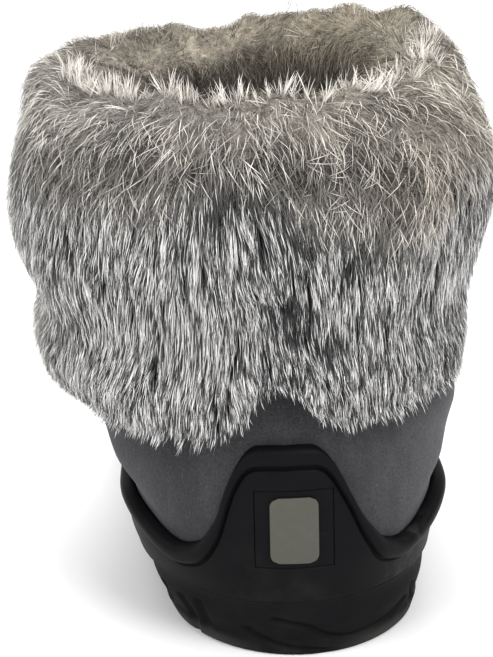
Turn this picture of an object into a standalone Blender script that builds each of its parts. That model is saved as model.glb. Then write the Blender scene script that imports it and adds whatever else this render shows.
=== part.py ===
"""Pull-on snow boot for the left foot: a moulded rubber foot shell on a cupped rubber outsole, a suede upper,
a deep fur cuff that rolls over the collar, an insole and a heel badge with a plain reflector.

The boot stands on the floor plane with the middle of its heel tread at the origin. The toe points to -Y, the
wearer's left side is +X and +Z is up. Every curved piece is worked out from one skin, the outer face of the
upper, and lies a named distance inside or outside it.
"""

import math
import random

import bmesh
import bpy
import numpy as np

# Lengths along the foot, in metres
FOOT_LENGTH = 0.262
SHAFT_DEPTH = 0.1018
HEEL_REACH = 0.0348
HEEL_HOLLOW = 0.0058

# Widths
BALL_WIDTH = 0.103
SHAFT_WIDTH = 0.112
TOE_SWING = 0.009
SHAFT_LEAN = 0.008

# Heights
HEEL_HEIGHT = 0.020
BALL_HEIGHT = 0.015
TOE_SPRING = 0.012
ARCH_RISE = 0.005
INSTEP_HEIGHT = 0.100
COLLAR_HEIGHT = 0.147

# Walls and gaps
UPPER_WALL = 0.0025
SHELL_WALL = 0.0028
GAP = 0.0004
FUR_GAP = 0.0006

INSOLE_THICKNESS = 0.0045
INSOLE_EDGE = 0.001

# The shell's top line and its raised band
HEEL_GUARD = 0.0510
BAND_WIDTH = 0.0062
BAND_RISE = 0.0020
GROOVE_WIDTH = 0.0016
GROOVE_DEPTH = 0.0009

# The outsole's side and tread
FLANGE_RISE = 0.0010
SWEEP_WIDTH = 0.0024
SWEEP_DEPTH = 0.0013
LUG_DEPTH = 0.0045
LUG_GROOVE = 0.0055
LUG_BEND = 0.009
RIM_WIDTH = 0.005

# The badge and its reflector
BADGE_SIZE = 0.0244
BADGE_THICKNESS = 0.0012
BADGE_BOTTOM = 0.0128
REFLECTOR_WIDTH = 0.0150
REFLECTOR_HEIGHT = 0.0205
REFLECTOR_THICKNESS = 0.0006

# The fur cuff
HEM_HEIGHT = 0.078
FUR_PILE = 0.0260
FUR_INSIDE = 0.0140
FUR_CREST = 0.0135
CREST_TILT = 0.010
CORNER_FULLNESS = 0.20
LOCK_LENGTH = 0.025
LOCK_WIDTH = 0.0125
LOCK_THICKNESS = 0.0052
FUR_SEED = 7

COLUMNS_AROUND = 60
HEEL_CLUSTER = 0.55
FOOT_STEPS = 4
ANKLE_STEPS = 3
SHAFT_STEPS = 3

# Each row is one level cut through the skin. level is 0 at the feather edge, 1 at the instep and 2 at the
# collar, and -1 on the tread. hollow is the share of HEEL_HOLLOW by which the back lies forward, and reach the
# share of the foot that the cut covers in front of the shaft. The five halves are half-widths a tenth, a
# quarter, half, three quarters and nine tenths of the way along the cut, as shares of the shaft's width at the
# back and of the ball's in front. lean is the share of SHAFT_LEAN.
CUTS = [
    # level, hollow, reach, heel, counter, waist, ball, toe, lean
    (-1.00, 1.20, 0.925, 0.287, 0.290, 0.318, 0.420, 0.340, -0.22),
    (-0.50, 0.70, 0.949, 0.312, 0.369, 0.387, 0.456, 0.369, -0.10),
    (0.00, 0.40, 0.968, 0.332, 0.412, 0.430, 0.479, 0.397, 0.04),
    (0.08, 0.14, 0.989, 0.349, 0.426, 0.446, 0.500, 0.417, 0.10),
    (0.16, 0.00, 1.000, 0.369, 0.422, 0.444, 0.500, 0.417, 0.07),
    (0.26, 0.05, 0.986, 0.383, 0.438, 0.448, 0.475, 0.388, 0.14),
    (0.36, 0.22, 0.936, 0.393, 0.489, 0.466, 0.430, 0.323, 0.25),
    (0.44, 0.40, 0.837, 0.391, 0.500, 0.470, 0.378, 0.258, 0.28),
    (0.51, 0.57, 0.687, 0.375, 0.505, 0.470, 0.336, 0.213, 0.32),
    (0.60, 0.74, 0.493, 0.357, 0.500, 0.462, 0.297, 0.177, 0.40),
    (0.72, 0.91, 0.306, 0.335, 0.478, 0.472, 0.311, 0.179, 0.50),
    (0.86, 1.00, 0.156, 0.313, 0.451, 0.488, 0.362, 0.217, 0.62),
    (1.00, 1.00, 0.059, 0.299, 0.424, 0.484, 0.408, 0.269, 0.70),
    (1.33, 0.83, 0.013, 0.286, 0.411, 0.469, 0.411, 0.286, 0.80),
    (2.00, 0.31, 0.000, 0.263, 0.375, 0.433, 0.380, 0.263, 1.00),
]
CUT_STATIONS = (0.1, 0.25, 0.5, 0.75, 0.9)

# The left boot's curve: where its middle line lies, as shares of TOE_SWING, along the foot from heel to toe
CURVE = [(0.0, 0.0), (0.3, 0.17), (0.5, 0.33), (0.65, 0.33), (0.8, -0.06), (0.9, -0.44), (1.0, -1.0)]


def table_column(rows, index):
    return np.array([row[index] for row in rows], float)


def smooth(xs, ys, x):
    """A smooth curve through the points (xs, ys), read at x, and level past its ends."""
    xs, ys = np.asarray(xs, float), np.asarray(ys, float)
    steps, rises = np.diff(xs), np.diff(ys)
    slopes = rises / steps
    ends = np.concatenate([slopes[:1], slopes[-1:]])
    inner = (slopes[:-1] * steps[1:] + slopes[1:] * steps[:-1]) / (steps[:-1] + steps[1:])
    tangents = np.concatenate([ends[:1], inner, ends[1:]])
    x = np.clip(np.asarray(x, float), xs[0], xs[-1])
    i = np.clip(np.searchsorted(xs, x, side="right") - 1, 0, len(steps) - 1)
    h, u = steps[i], (x - xs[i]) / steps[i]
    start = (1 + 2 * u) * (1 - u) ** 2 * ys[i] + u * (1 - u) ** 2 * h * tangents[i]
    return start + u * u * (3 - 2 * u) * ys[i + 1] + u * u * (u - 1) * h * tangents[i + 1]


def ease(x, low, high):
    """0 below low and 1 above high, turning smoothly between them."""
    u = np.clip((np.asarray(x, float) - low) / (high - low), 0, 1)
    return u * u * (3 - 2 * u)


def along(y):
    """The share of the foot's length at y, from heel to toe."""
    return (HEEL_REACH - y) / FOOT_LENGTH


def toe_rise(y):
    """How far the toe spring lifts the boot at y."""
    return TOE_SPRING * np.clip((along(y) - 0.72) / 0.28, 0, 2) ** 2


def tread_height(y):
    """The height of the tread over the floor at y: the arch and the toe stand clear of it."""
    q = along(y)
    return toe_rise(y) + ARCH_RISE * ease(q, 0.26, 0.34) * (1 - ease(q, 0.42, 0.50))


def feather_height(y):
    """The height of the feather edge, where the upper meets the sole."""
    q = along(y)
    return toe_rise(y) + HEEL_HEIGHT + (BALL_HEIGHT - HEEL_HEIGHT) * ease(q, 0.25, 0.62)


def height_of(level, y):
    """The real height of a level at y."""
    low, feather = tread_height(y), feather_height(y)
    below = low + (feather - low) * (1 + np.minimum(level, 0))
    foot = INSTEP_HEIGHT * np.clip(level, 0, 1)
    shaft = (COLLAR_HEIGHT - INSTEP_HEIGHT) * np.clip(level - 1, 0, None)
    return np.where(level < 0, below, feather + foot + shaft)


def skin(angle, level):
    """Points on the outer face of the upper.

    angle runs from 0 at the back, by the wearer's left side, to pi at the toe.
    """
    angle, level = np.broadcast_arrays(np.asarray(angle, float), np.asarray(level, float))
    levels = table_column(CUTS, 0)
    hollow, reach, lean = (smooth(levels, table_column(CUTS, i), level) for i in (1, 2, 8))
    t = (1 - np.cos(angle)) / 2
    back = HEEL_REACH - HEEL_HOLLOW * hollow
    front = HEEL_REACH - SHAFT_DEPTH - (FOOT_LENGTH - SHAFT_DEPTH) * reach
    y = back + (front - back) * t
    fore = SHAFT_WIDTH + (BALL_WIDTH - SHAFT_WIDTH) * reach
    units = (SHAFT_WIDTH, SHAFT_WIDTH, fore, fore, fore)
    full = []
    for column, (station, unit) in enumerate(zip(CUT_STATIONS, units)):
        half = smooth(levels, table_column(CUTS, 3 + column), level) * unit
        full.append(half / (2 * math.sqrt(station * (1 - station))))
    full.insert(0, full[0] + (full[0] - full[1]) * 0.35)
    full.append(full[-1] + (full[-1] - full[-2]) * 0.35)
    stations = (0.0, *CUT_STATIONS, 1.0)
    half = blend_columns(stations, full, t)
    q = along(y)
    curve = TOE_SWING * smooth(*zip(*CURVE), q)
    x = half * np.sin(angle) + curve + SHAFT_LEAN * lean * (1 - ease(q, 0.35, 0.8))
    return np.stack([x, y, height_of(level, y)], -1)


def blend_columns(stations, columns, t):
    """Reads a smooth curve through one value for each station at t, where the values differ by point."""
    stations = np.asarray(stations, float)
    steps = np.diff(stations)
    slopes = [(columns[k + 1] - columns[k]) / steps[k] for k in range(len(steps))]
    tangents = [slopes[0]]
    for k in range(1, len(steps)):
        tangents.append((slopes[k - 1] * steps[k] + slopes[k] * steps[k - 1]) / (steps[k - 1] + steps[k]))
    tangents.append(slopes[-1])
    out = np.zeros(np.shape(t))
    for k, h in enumerate(steps):
        u = (t - stations[k]) / h
        inside = (u >= 0) & (u <= 1)
        value = (1 + 2 * u) * (1 - u) ** 2 * columns[k] + u * (1 - u) ** 2 * h * tangents[k]
        value += u * u * (3 - 2 * u) * columns[k + 1] + u * u * (u - 1) * h * tangents[k + 1]
        out = np.where(inside, value, out)
    return out


def skin_normal(angle, level):
    """The way out of the skin. It is level at and below the feather edge, so that walls end flat there."""
    angle, level = np.broadcast_arrays(np.asarray(angle, float), np.asarray(level, float))
    step = 1e-4
    low, high = np.clip(level - step, -1, 2), np.clip(level + step, -1, 2)
    up = skin(angle, high) - skin(angle, low)
    on = skin(angle + step, level) - skin(angle - step, level)
    n = np.cross(up, on)
    n /= np.linalg.norm(n, axis=-1, keepdims=True)
    n[..., 2] *= ease(level, 0.0, 0.12)
    return n / np.linalg.norm(n, axis=-1, keepdims=True)


def off_skin(angle, level, out):
    """Points a distance outside the skin, or inside it where out is below 0."""
    out = np.asarray(out, float)
    return skin(angle, level) + skin_normal(angle, level) * out[..., None]


# The height of the shell's top line over the feather edge, as shares of HEEL_GUARD, by the angle from the back
TOP_LINE = [
    (0, 1.00), (7, 1.00), (9.5, 0.94), (11.5, 0.84), (13.5, 0.71), (15.5, 0.58), (18, 0.47), (21, 0.375),
    (25, 0.315), (29, 0.295), (33, 0.325), (38, 0.395), (43, 0.445), (55, 0.47), (75, 0.46), (100, 0.46),
    (120, 0.50), (138, 0.60), (152, 0.72), (166, 0.79), (180, 0.80), (194, 0.79),
]

# The grooves that sweep over the heel's side, each by its angle from the back and its level
SWEEPS = [
    [(34, -0.40), (32, -0.54), (31, -0.70), (30.5, -0.84), (31, -0.96)],
    [(27.5, -0.34), (26.8, -0.48), (26.5, -0.64), (25.5, -0.78), (23.5, -0.86), (20.5, -0.93)],
    [(13.5, -0.56), (11.5, -0.66), (8.5, -0.75), (5, -0.81), (0.5, -0.86), (-3.5, -0.89), (-7, -0.93)],
    [
        (5.5, -0.36), (1, -0.42), (-3, -0.48), (-5.5, -0.59), (-8.5, -0.69), (-12, -0.75), (-16, -0.77),
        (-22, -0.75), (-29, -0.67), (-34, -0.57),
    ],
    [(42, -0.42), (41, -0.60), (41.5, -0.80)],
    [(-38, -0.44), (-39, -0.62), (-38, -0.82)],
]

# The height of the fur's hem as shares of HEM_HEIGHT, by the angle from the back towards the wearer's left. It
# has a notch at the middle of the back.
HEM_LINE = [
    (-180, 1.20), (-160, 1.18), (-130, 1.09), (-80, 1.00), (-38, 1.04), (-24, 1.06), (-12, 1.08), (-8, 1.10),
    (-4, 1.17), (0, 1.19), (4, 1.17), (8, 1.08), (13, 1.00), (24, 0.975), (37, 0.975), (60, 0.985), (90, 1.00),
    (130, 1.09), (160, 1.18), (180, 1.20),
]

# Each row is one course of the cuff's outer face, from the hem up. rise is the share of the way to the collar's
# rim, and left and right are the pile's depth on the wearer's left and right as shares of FUR_PILE.
FUR_FACE = [
    # rise, left, right
    (0.00, 0.54, 0.09),
    (0.06, 0.70, 0.16),
    (0.20, 0.67, 0.33),
    (0.32, 0.88, 0.54),
    (0.52, 0.96, 0.71),
    (0.85, 0.94, 0.87),
    (1.06, 0.74, 0.74),
]

# Each row is one ring of locks. rise is where its roots stand on the cuff's outer face, and count how many
# there are.
LOCK_RINGS = [
    # rise, count, length, flare
    (0.20, 22, 0.90, 0.14),
    (0.44, 18, 1.00, 0.16),
    (0.72, 14, 1.00, 0.18),
    (0.97, 12, 0.90, 0.20),
]

# Each row is one section of a lock, with its place from root to tip and its size as a share of the lock's width
LOCK_SHAPE = [
    # share, size
    (-0.12, 0.70),
    (0.35, 1.00),
    (0.72, 0.62),
]
LOCK_SINK = 0.45
LOCK_LEAN = 0.009


def top_line(angle):
    """The level of the shell's top line at an angle."""
    degrees = np.abs(np.degrees(np.arctan2(np.sin(angle), np.cos(angle))))
    return smooth(*zip(*TOP_LINE), degrees) * HEEL_GUARD / INSTEP_HEIGHT


def hem_line(angle):
    """The level of the fur's hem at an angle."""
    degrees = np.degrees(np.arctan2(np.sin(angle), np.cos(angle)))
    height = HEM_HEIGHT * smooth(*zip(*HEM_LINE), degrees)
    y = skin(angle, HEM_HEIGHT / (HEEL_HEIGHT + INSTEP_HEIGHT))[..., 1]
    over = height - feather_height(y)
    above = 1 + (over - INSTEP_HEIGHT) / (COLLAR_HEIGHT - INSTEP_HEIGHT)
    return np.where(over < INSTEP_HEIGHT, over / INSTEP_HEIGHT, above)


def fur_pile(angle, rise):
    """How deep the fur is on the cuff's outer face. The back and front lie between the two sides, and the four
    corners are fuller."""
    left, right = (smooth(table_column(FUR_FACE, 0), table_column(FUR_FACE, i), rise) for i in (1, 2))
    corner = 1 + CORNER_FULLNESS * np.sin(2 * angle) ** 2
    return FUR_PILE * corner * ((left + right) / 2 + (left - right) / 2 * np.sin(angle))


def crest_height(angle):
    """How far the fur's crest stands over the rim. It lies lower in front on the wearer's left."""
    return FUR_CREST - CREST_TILT * np.sin(angle) * (1 - np.cos(angle)) / 2


def around():
    """The angles of the columns, closest together round the heel."""
    u = np.arange(COLUMNS_AROUND) * 2 * math.pi / COLUMNS_AROUND
    return u - HEEL_CLUSTER * np.sin(u)


def stack(stops, counts):
    """Levels that run through the stops, with so many equal steps from each stop to the next."""
    rows = [stops[0]]
    for low, high, count in zip(stops[:-1], stops[1:], counts):
        rows += [low + (high - low) * k / count for k in range(1, count + 1)]
    return np.array(rows)


def rings_body(name, rings):
    """A closed body whose skin runs through the rings in order, and from the last ring back to the first.

    Each four-sided face is split the same way whether its rings run up or down, so that nested pieces keep
    their gap.
    """
    rings = np.array(rings)
    count, around_count = rings.shape[:2]
    heights = rings[..., 2].mean(1)
    faces = []
    for i in range(count):
        j = (i + 1) % count
        for a in range(around_count):
            b = (a + 1) % around_count
            low_a, low_b = i * around_count + a, i * around_count + b
            high_b, high_a = j * around_count + b, j * around_count + a
            if heights[j] >= heights[i]:
                faces += [(low_a, low_b, high_b), (low_a, high_b, high_a)]
            else:
                faces += [(low_b, high_b, high_a), (low_b, high_a, low_a)]
    return mesh_body(name, rings.reshape(-1, 3), faces)


def slab_body(name, rings):
    """A closed body whose side runs through the rings from the lowest up, with flat faces across both ends."""
    rings = np.array(rings)
    count, around_count = rings.shape[:2]
    faces = []
    for i in range(count - 1):
        for a in range(around_count):
            b = (a + 1) % around_count
            low, high = i * around_count, (i + 1) * around_count
            faces.append((low + a, low + b, high + b, high + a))
    for first in (0, (count - 1) * around_count):
        for a in range(around_count // 2):
            mirror, after = (around_count - a) % around_count, around_count - a - 1
            corners = [first + a, first + a + 1, first + after, first + mirror]
            faces.append(tuple(dict.fromkeys(corners)))
    return mesh_body(name, rings.reshape(-1, 3), [face for face in faces if len(face) > 2])


def mesh_body(name, points, faces):
    mesh = bpy.data.meshes.new(name)
    mesh.from_pydata([tuple(p) for p in points], [], faces)
    work = bmesh.new()
    work.from_mesh(mesh)
    bmesh.ops.recalc_face_normals(work, faces=work.faces)
    work.to_mesh(mesh)
    work.free()
    mesh.shade_smooth()
    thing = bpy.data.objects.new(name, mesh)
    bpy.context.scene.collection.objects.link(thing)
    return thing


def dress(thing, colour, roughness):
    """Gives a piece a material of its own."""
    material = bpy.data.materials.new(thing.name)
    material.use_nodes = True
    shader = material.node_tree.nodes["Principled BSDF"]
    shader.inputs["Base Color"].default_value = (*colour, 1)
    shader.inputs["Roughness"].default_value = roughness
    shader.inputs["Metallic"].default_value = 0
    thing.data.materials.append(material)
    return thing


def boolean(thing, other, operation, solver="EXACT"):
    """Joins another body to a piece, or cuts it away, and removes that body."""
    step = thing.modifiers.new(operation, "BOOLEAN")
    step.operation = operation
    step.object = other
    step.solver = solver
    graph = bpy.context.evaluated_depsgraph_get()
    mesh = bpy.data.meshes.new_from_object(thing.evaluated_get(graph))
    thing.modifiers.clear()
    thing.data = mesh
    bpy.data.objects.remove(other)
    return thing


def sweep_depth(angle, level):
    """How deep the heel's sweeping grooves are at a place on the side."""
    width = SWEEP_WIDTH / 2
    depth = np.zeros(np.shape(level))
    turn = np.arctan2(np.sin(angle), np.cos(angle))
    for line in SWEEPS:
        fine = np.linspace(0, len(line) - 1, 12 * len(line))
        steps = range(len(line))
        turns = np.radians(smooth(steps, [p[0] for p in line], fine))
        levels = smooth(steps, [p[1] for p in line], fine)
        reach = SHAFT_DEPTH * 0.38
        gaps = np.hypot((turn[..., None] - turns) * reach, (level[..., None] - levels) * HEEL_HEIGHT)
        near = gaps.min(-1)
        depth = np.maximum(depth, np.clip(1 - (near / width) ** 2, 0, 1))
    return depth * SWEEP_DEPTH


def make_outsole():
    angle = around()
    flush = GAP + SHELL_WALL
    side = [
        # level, outward, swept
        (-1.00, flush + FLANGE_RISE * 0.3, 0),
        (-0.95, flush + FLANGE_RISE, 1),
        (-0.86, flush + FLANGE_RISE, 1),
        (-0.77, flush + FLANGE_RISE * 0.7, 1),
        (-0.68, flush, 1),
        (-0.59, flush, 1),
        (-0.50, flush, 1),
        (-0.41, flush, 1),
        (-0.30, flush, 0.5),
        (-0.10, flush, 0),
    ]
    rings = []
    for level, out, swept in side:
        levels = np.full(angle.shape, level)
        rings.append(off_skin(angle, levels, out - swept * sweep_depth(angle, levels)))
    top = off_skin(angle, np.zeros(angle.shape), np.full(angle.shape, flush))
    top[:, 2] -= GAP
    rings.append(top)
    sole = slab_body("outsole", rings)
    return boolean(sole, lug_grooves(), "DIFFERENCE")


def lug_grooves():
    """The gaps between the tread's lugs, as one body of separate bars that bend forward in the middle."""
    points, faces = [], []
    for first, last, count in ((0.070, 0.215, 3), (0.500, 0.880, 6)):
        for k in range(count):
            q = first + (last - first) * k / (count - 1)
            add_bar(points, faces, HEEL_REACH - q * FOOT_LENGTH)
    return mesh_body("lug_grooves", points, faces)


def add_bar(points, faces, y):
    """One groove across the tread at y, inside the sole's rim."""
    edge = skin(np.linspace(0, 2 * math.pi, 361), -1)
    left = edge[:181]
    right = edge[180:][::-1]
    high = np.interp(-y, -left[:, 1], left[:, 0]) - RIM_WIDTH
    low = np.interp(-y, -right[:, 1], right[:, 0]) + RIM_WIDTH
    base = len(points)
    steps = 4
    for k in range(steps + 1):
        u = k / steps
        x = low + (high - low) * u
        bend = LUG_BEND * (1 - abs(2 * u - 1)) - LUG_BEND / 2
        for dy in (-LUG_GROOVE / 2, LUG_GROOVE / 2):
            at = y - bend + dy
            roof = float(tread_height(at)) + LUG_DEPTH
            points.append((x, at, roof - 3 * LUG_DEPTH))
            points.append((x, at, roof))
    for k in range(steps):
        a = base + 4 * k
        b = a + 4
        faces += [(a, a + 1, b + 1, b), (a + 2, b + 2, b + 3, a + 3)]
        faces += [(a, b, b + 2, a + 2), (a + 1, a + 3, b + 3, b + 1)]
    faces.append((base, base + 2, base + 3, base + 1))
    end = base + 4 * steps
    faces.append((end, end + 1, end + 3, end + 2))


def make_shell():
    angle = around()
    top = top_line(angle)
    small = 0.02
    reach = np.linalg.norm(skin(angle, top) - skin(angle, top - small), axis=-1)
    band = BAND_WIDTH * small / reach
    groove = GROOVE_WIDTH * small / reach
    under = top - band - groove
    face = GAP + SHELL_WALL
    rings = [off_skin(angle, under * k / FOOT_STEPS, np.full(angle.shape, face)) for k in range(FOOT_STEPS)]
    profile = [
        # drop from the top line, outward
        (band + groove, face),
        (band + groove * 0.5, face - GROOVE_DEPTH),
        (band, face - GROOVE_DEPTH * 0.2),
        (band * 0.86, face + BAND_RISE * 0.8),
        (band * 0.5, face + BAND_RISE),
        (band * 0.16, face + BAND_RISE * 0.7),
        (0, face),
    ]
    for drop, out in profile:
        rings.append(off_skin(angle, top - drop, np.full(angle.shape, out)))
    for k in range(FOOT_STEPS, -1, -1):
        rings.append(off_skin(angle, top * k / FOOT_STEPS, np.full(angle.shape, GAP)))
    shell = rings_body("rubber_shell", rings)
    half = BADGE_SIZE / 2 + GAP
    pocket = heel_block("pocket", half, half, face - BADGE_THICKNESS - GAP, face + 4 * BAND_RISE)
    return boolean(shell, pocket, "DIFFERENCE")


def heel_block(name, half_width, half_height, low, high):
    """A square block on the heel's plateau that follows the skin between two distances out of it."""
    middle = BADGE_BOTTOM + BADGE_SIZE / 2
    steps = 5
    points, faces = [], []
    turns = np.radians(np.linspace(-30, 30, 241))
    for out in (low, high):
        for j in range(steps + 1):
            level = (middle - half_height + 2 * half_height * j / steps) / INSTEP_HEIGHT
            xs = off_skin(turns, np.full(turns.shape, level), np.full(turns.shape, out))[:, 0]
            for i in range(steps + 1):
                turn = np.interp(-half_width + 2 * half_width * i / steps, xs, turns)
                points.append(off_skin(turn, level, out))
    row, sheet = steps + 1, (steps + 1) ** 2
    for j in range(steps):
        for i in range(steps):
            a = j * row + i
            faces.append((a, a + 1, a + row + 1, a + row))
            faces.append((a + sheet, a + sheet + row, a + sheet + row + 1, a + sheet + 1))
    last = steps * row
    for k in range(steps):
        below, above = (k, k + 1), (last + k, last + k + 1)
        start, end = (k * row, (k + 1) * row), (k * row + steps, (k + 1) * row + steps)
        for a, b in (below, above, start, end):
            faces.append((a, b, b + sheet, a + sheet))
    return mesh_body(name, points, faces)


def make_upper():
    angle = around()
    stops = (np.zeros(angle.shape), top_line(angle), hem_line(angle), np.full(angle.shape, 2.0))
    rows = stack(stops, (FOOT_STEPS, ANKLE_STEPS, SHAFT_STEPS))
    outer = [off_skin(angle, row, np.zeros(angle.shape)) for row in rows]
    rows = stack(stops, (2, 1, SHAFT_STEPS))
    inner = [off_skin(angle, row, np.full(angle.shape, -UPPER_WALL)) for row in rows[::-1]]
    return rings_body("upper", outer + inner)


def make_insole():
    angle = around()
    inside = np.full(angle.shape, -UPPER_WALL - 3 * GAP)
    rings = []
    for height, back in ((GAP / 2, 0), (INSOLE_THICKNESS * 0.7, 0), (INSOLE_THICKNESS, INSOLE_EDGE)):
        ring = off_skin(angle, np.full(angle.shape, height / INSTEP_HEIGHT), inside - back)
        ring[:, 2] = feather_height(ring[:, 1]) + height
        rings.append(ring)
    return slab_body("insole", rings)


def level_way_out(angle, level):
    """The way out of the skin, laid flat. Above the collar it is the collar's own."""
    n = skin_normal(angle, np.minimum(level, 2))
    n[..., 2] = 0
    return n / np.linalg.norm(n, axis=-1, keepdims=True)


def fur_face(angle, rise):
    """A point on the cuff's outer face. rise is 0 at the hem and 1 at the collar's rim."""
    hem = hem_line(angle)
    level = hem + (2 - hem) * np.clip(rise, 0, 1)
    point = skin(angle, level) + level_way_out(angle, level) * fur_pile(angle, rise)[..., None]
    point[..., 2] += np.clip(rise - 1, 0, None) * (COLLAR_HEIGHT - HEM_HEIGHT + HEEL_HEIGHT)
    return point


def make_fur():
    angle = around()
    flat = np.ones(angle.shape)
    hem = hem_line(angle)
    rings = [fur_face(angle, flat * rise) for rise in table_column(FUR_FACE, 0)]
    rim = skin(angle, 2 * flat)
    way = level_way_out(angle, 2 * flat)
    inner_face = UPPER_WALL + FUR_INSIDE
    crest = crest_height(angle)
    over = [
        # outward share of the pile, height over the rim
        (0.50, 0.93),
        (-0.02, 1.00),
    ]
    for out, high in over:
        ring = rim + way * FUR_PILE * out
        ring[:, 2] += crest * high
        rings.append(ring)
    inside = [
        # height over the rim, depth under it as a share of the leg, inward share
        (0.60, 0.00, 0.74),
        (0.00, 0.05, 1.00),
        (0.00, 1.00, 0.60),
    ]
    rows = stack((hem, 2 * flat), (SHAFT_STEPS,))
    leg = rows[1]
    for high, drop, share in inside:
        level = 2 - drop * (2 - leg)
        ring = skin(angle, level) - way * inner_face * share
        ring[:, 2] += high * crest
        rings.append(ring)
    for row in rows[1:]:
        rings.append(off_skin(angle, row, -(UPPER_WALL + FUR_GAP) * flat))
    for out in (-UPPER_WALL - FUR_GAP, FUR_GAP):
        ring = off_skin(angle, 2 * flat, out * flat)
        ring[:, 2] += FUR_GAP
        rings.append(ring)
    for row in rows[::-1]:
        rings.append(off_skin(angle, row, FUR_GAP * flat))
    cuff = rings_body("fur_cuff", rings)
    for index, ring in enumerate(LOCK_RINGS):
        cuff = boolean(cuff, lock_ring(index, *ring), "UNION", "MANIFOLD")
    return keep_outside(cuff)


def keep_outside(thing):
    """Fills the small hollows that locks close off, by keeping only the skin with the most corners."""
    work = bmesh.new()
    work.from_mesh(thing.data)
    left, skins = set(work.verts), []
    while left:
        reached = [left.pop()]
        for corner in reached:
            for edge in corner.link_edges:
                other = edge.other_vert(corner)
                if other in left:
                    left.remove(other)
                    reached.append(other)
        skins.append(reached)
    biggest = max(skins, key=len)
    for reached in skins:
        if reached is not biggest:
            bmesh.ops.delete(work, geom=reached, context="VERTS")
    work.to_mesh(thing.data)
    work.free()
    return thing


def plumb(turn, level, low, steps=4):
    """The angle reached by running straight down the skin's slope from one level to a lower one."""
    drop = (low - level) / steps
    for _ in range(steps):
        way = level_way_out(turn, level)
        along_skin = np.stack([-way[..., 1], way[..., 0]], -1)
        small = 1e-3
        by_turn = ((skin(turn + small, level) - skin(turn - small, level))[..., :2] * along_skin).sum(-1)
        by_level = ((skin(turn, level + small) - skin(turn, level - small))[..., :2] * along_skin).sum(-1)
        turn = turn - by_level / by_turn * drop
        level = level + drop
    return turn


def lock_middle(turn, start, long, share, flare):
    """A point on a lock's middle line, which hangs along the cuff and stands off it towards the tip, and the way
    out there."""
    hem = hem_line(turn)
    root = hem + (2 - hem) * start
    level = root - (2 - hem) * share * long / (COLLAR_HEIGHT + HEEL_HEIGHT - HEM_HEIGHT)
    turn = plumb(turn, root, level)
    hem = hem_line(turn)
    rise = (level - hem) / (2 - hem)
    way = level_way_out(turn, level)
    return skin(turn, level) + way * (fur_pile(turn, rise) + (share - LOCK_SINK) * flare * long), way


def lock_ring(index, rise, count, length, flare):
    """One ring of pointed locks, as one body of separate tapering strips whose roots stand inside the cuff."""
    chance = random.Random(FUR_SEED + index)
    points, faces = [], []
    for k in range(count):
        turn = 2 * math.pi * (k + 0.5 * (index % 2) + chance.uniform(-0.22, 0.22)) / count
        turn -= HEEL_CLUSTER * 0.4 * math.sin(turn)
        start = rise + chance.uniform(-0.05, 0.05)
        long = LOCK_LENGTH * length * chance.uniform(0.8, 1.2)
        wide = LOCK_WIDTH * chance.uniform(0.85, 1.1) / 2
        lean = chance.uniform(-LOCK_LEAN, LOCK_LEAN)
        base = len(points)
        for share, size in LOCK_SHAPE:
            middle, way = lock_middle(np.array(turn + lean * share / SHAFT_WIDTH), start, long, share, flare)
            side = np.array([-way[1], way[0], 0.0])
            for across, out in ((-1, -0.5), (0, 1), (1, -0.5)):
                points.append(middle + (side * across * wide + way * out * LOCK_THICKNESS / 2) * size)
        tip = len(points)
        points.append(lock_middle(np.array(turn + lean / SHAFT_WIDTH), start, long, 1.0, flare)[0])
        for row in range(len(LOCK_SHAPE) - 1):
            for i in range(3):
                a, b = base + 3 * row + i, base + 3 * row + (i + 1) % 3
                faces.append((a, b, b + 3, a + 3))
        faces += [(tip - 3 + i, tip - 3 + (i + 1) % 3, tip) for i in range(3)]
        faces.append((base, base + 2, base + 1))
    return mesh_body("locks", points, faces)


def build():
    for thing in list(bpy.data.objects):
        bpy.data.objects.remove(thing)
    dress(make_outsole(), (0.012, 0.012, 0.013), 0.62)
    dress(make_shell(), (0.011, 0.011, 0.012), 0.45)
    dress(make_upper(), (0.055, 0.055, 0.060), 0.95)
    dress(make_insole(), (0.10, 0.09, 0.08), 0.95)
    face = GAP + SHELL_WALL
    seat = face - BADGE_THICKNESS
    badge = heel_block("heel_badge", BADGE_SIZE / 2, BADGE_SIZE / 2, seat, face)
    dress(badge, (0.009, 0.009, 0.010), 0.4)
    low, high = face + GAP, face + GAP + REFLECTOR_THICKNESS
    patch = heel_block("reflector", REFLECTOR_WIDTH / 2, REFLECTOR_HEIGHT / 2, low, high)
    dress(patch, (0.14, 0.135, 0.11), 0.5)
    dress(make_fur(), (0.28, 0.27, 0.26), 1.0)


build()
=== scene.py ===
"""A pull-on snow boot for the left foot, dressed over its CAD solids: rubber shell and outsole, suede upper,
fur cuff, footbed and heel badge. Lengths are in metres, the heel's tread stands on the floor at the origin,
the toe points to -Y and the wearer's left is +X."""

import math

import bmesh
import bpy
import numpy as np
from bpy.props import FloatProperty, FloatVectorProperty, IntProperty, PointerProperty
from mathutils import Matrix, Vector
from mathutils.kdtree import KDTree


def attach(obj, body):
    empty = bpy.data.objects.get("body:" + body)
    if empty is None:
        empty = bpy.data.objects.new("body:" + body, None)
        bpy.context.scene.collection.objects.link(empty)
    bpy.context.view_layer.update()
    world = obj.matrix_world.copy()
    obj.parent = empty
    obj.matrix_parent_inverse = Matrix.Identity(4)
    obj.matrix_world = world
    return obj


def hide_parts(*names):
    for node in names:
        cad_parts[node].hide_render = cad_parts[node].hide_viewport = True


bl_info = {
    "name": "Fur cuff snow boot",
    "version": (1, 0, 0),
    "blender": (4, 5, 0),
    "location": "3D View > Sidebar > Boot",
    "description": "Builds the visible pieces of a snow boot over its CAD frame",
    "category": "Object",
}

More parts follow.
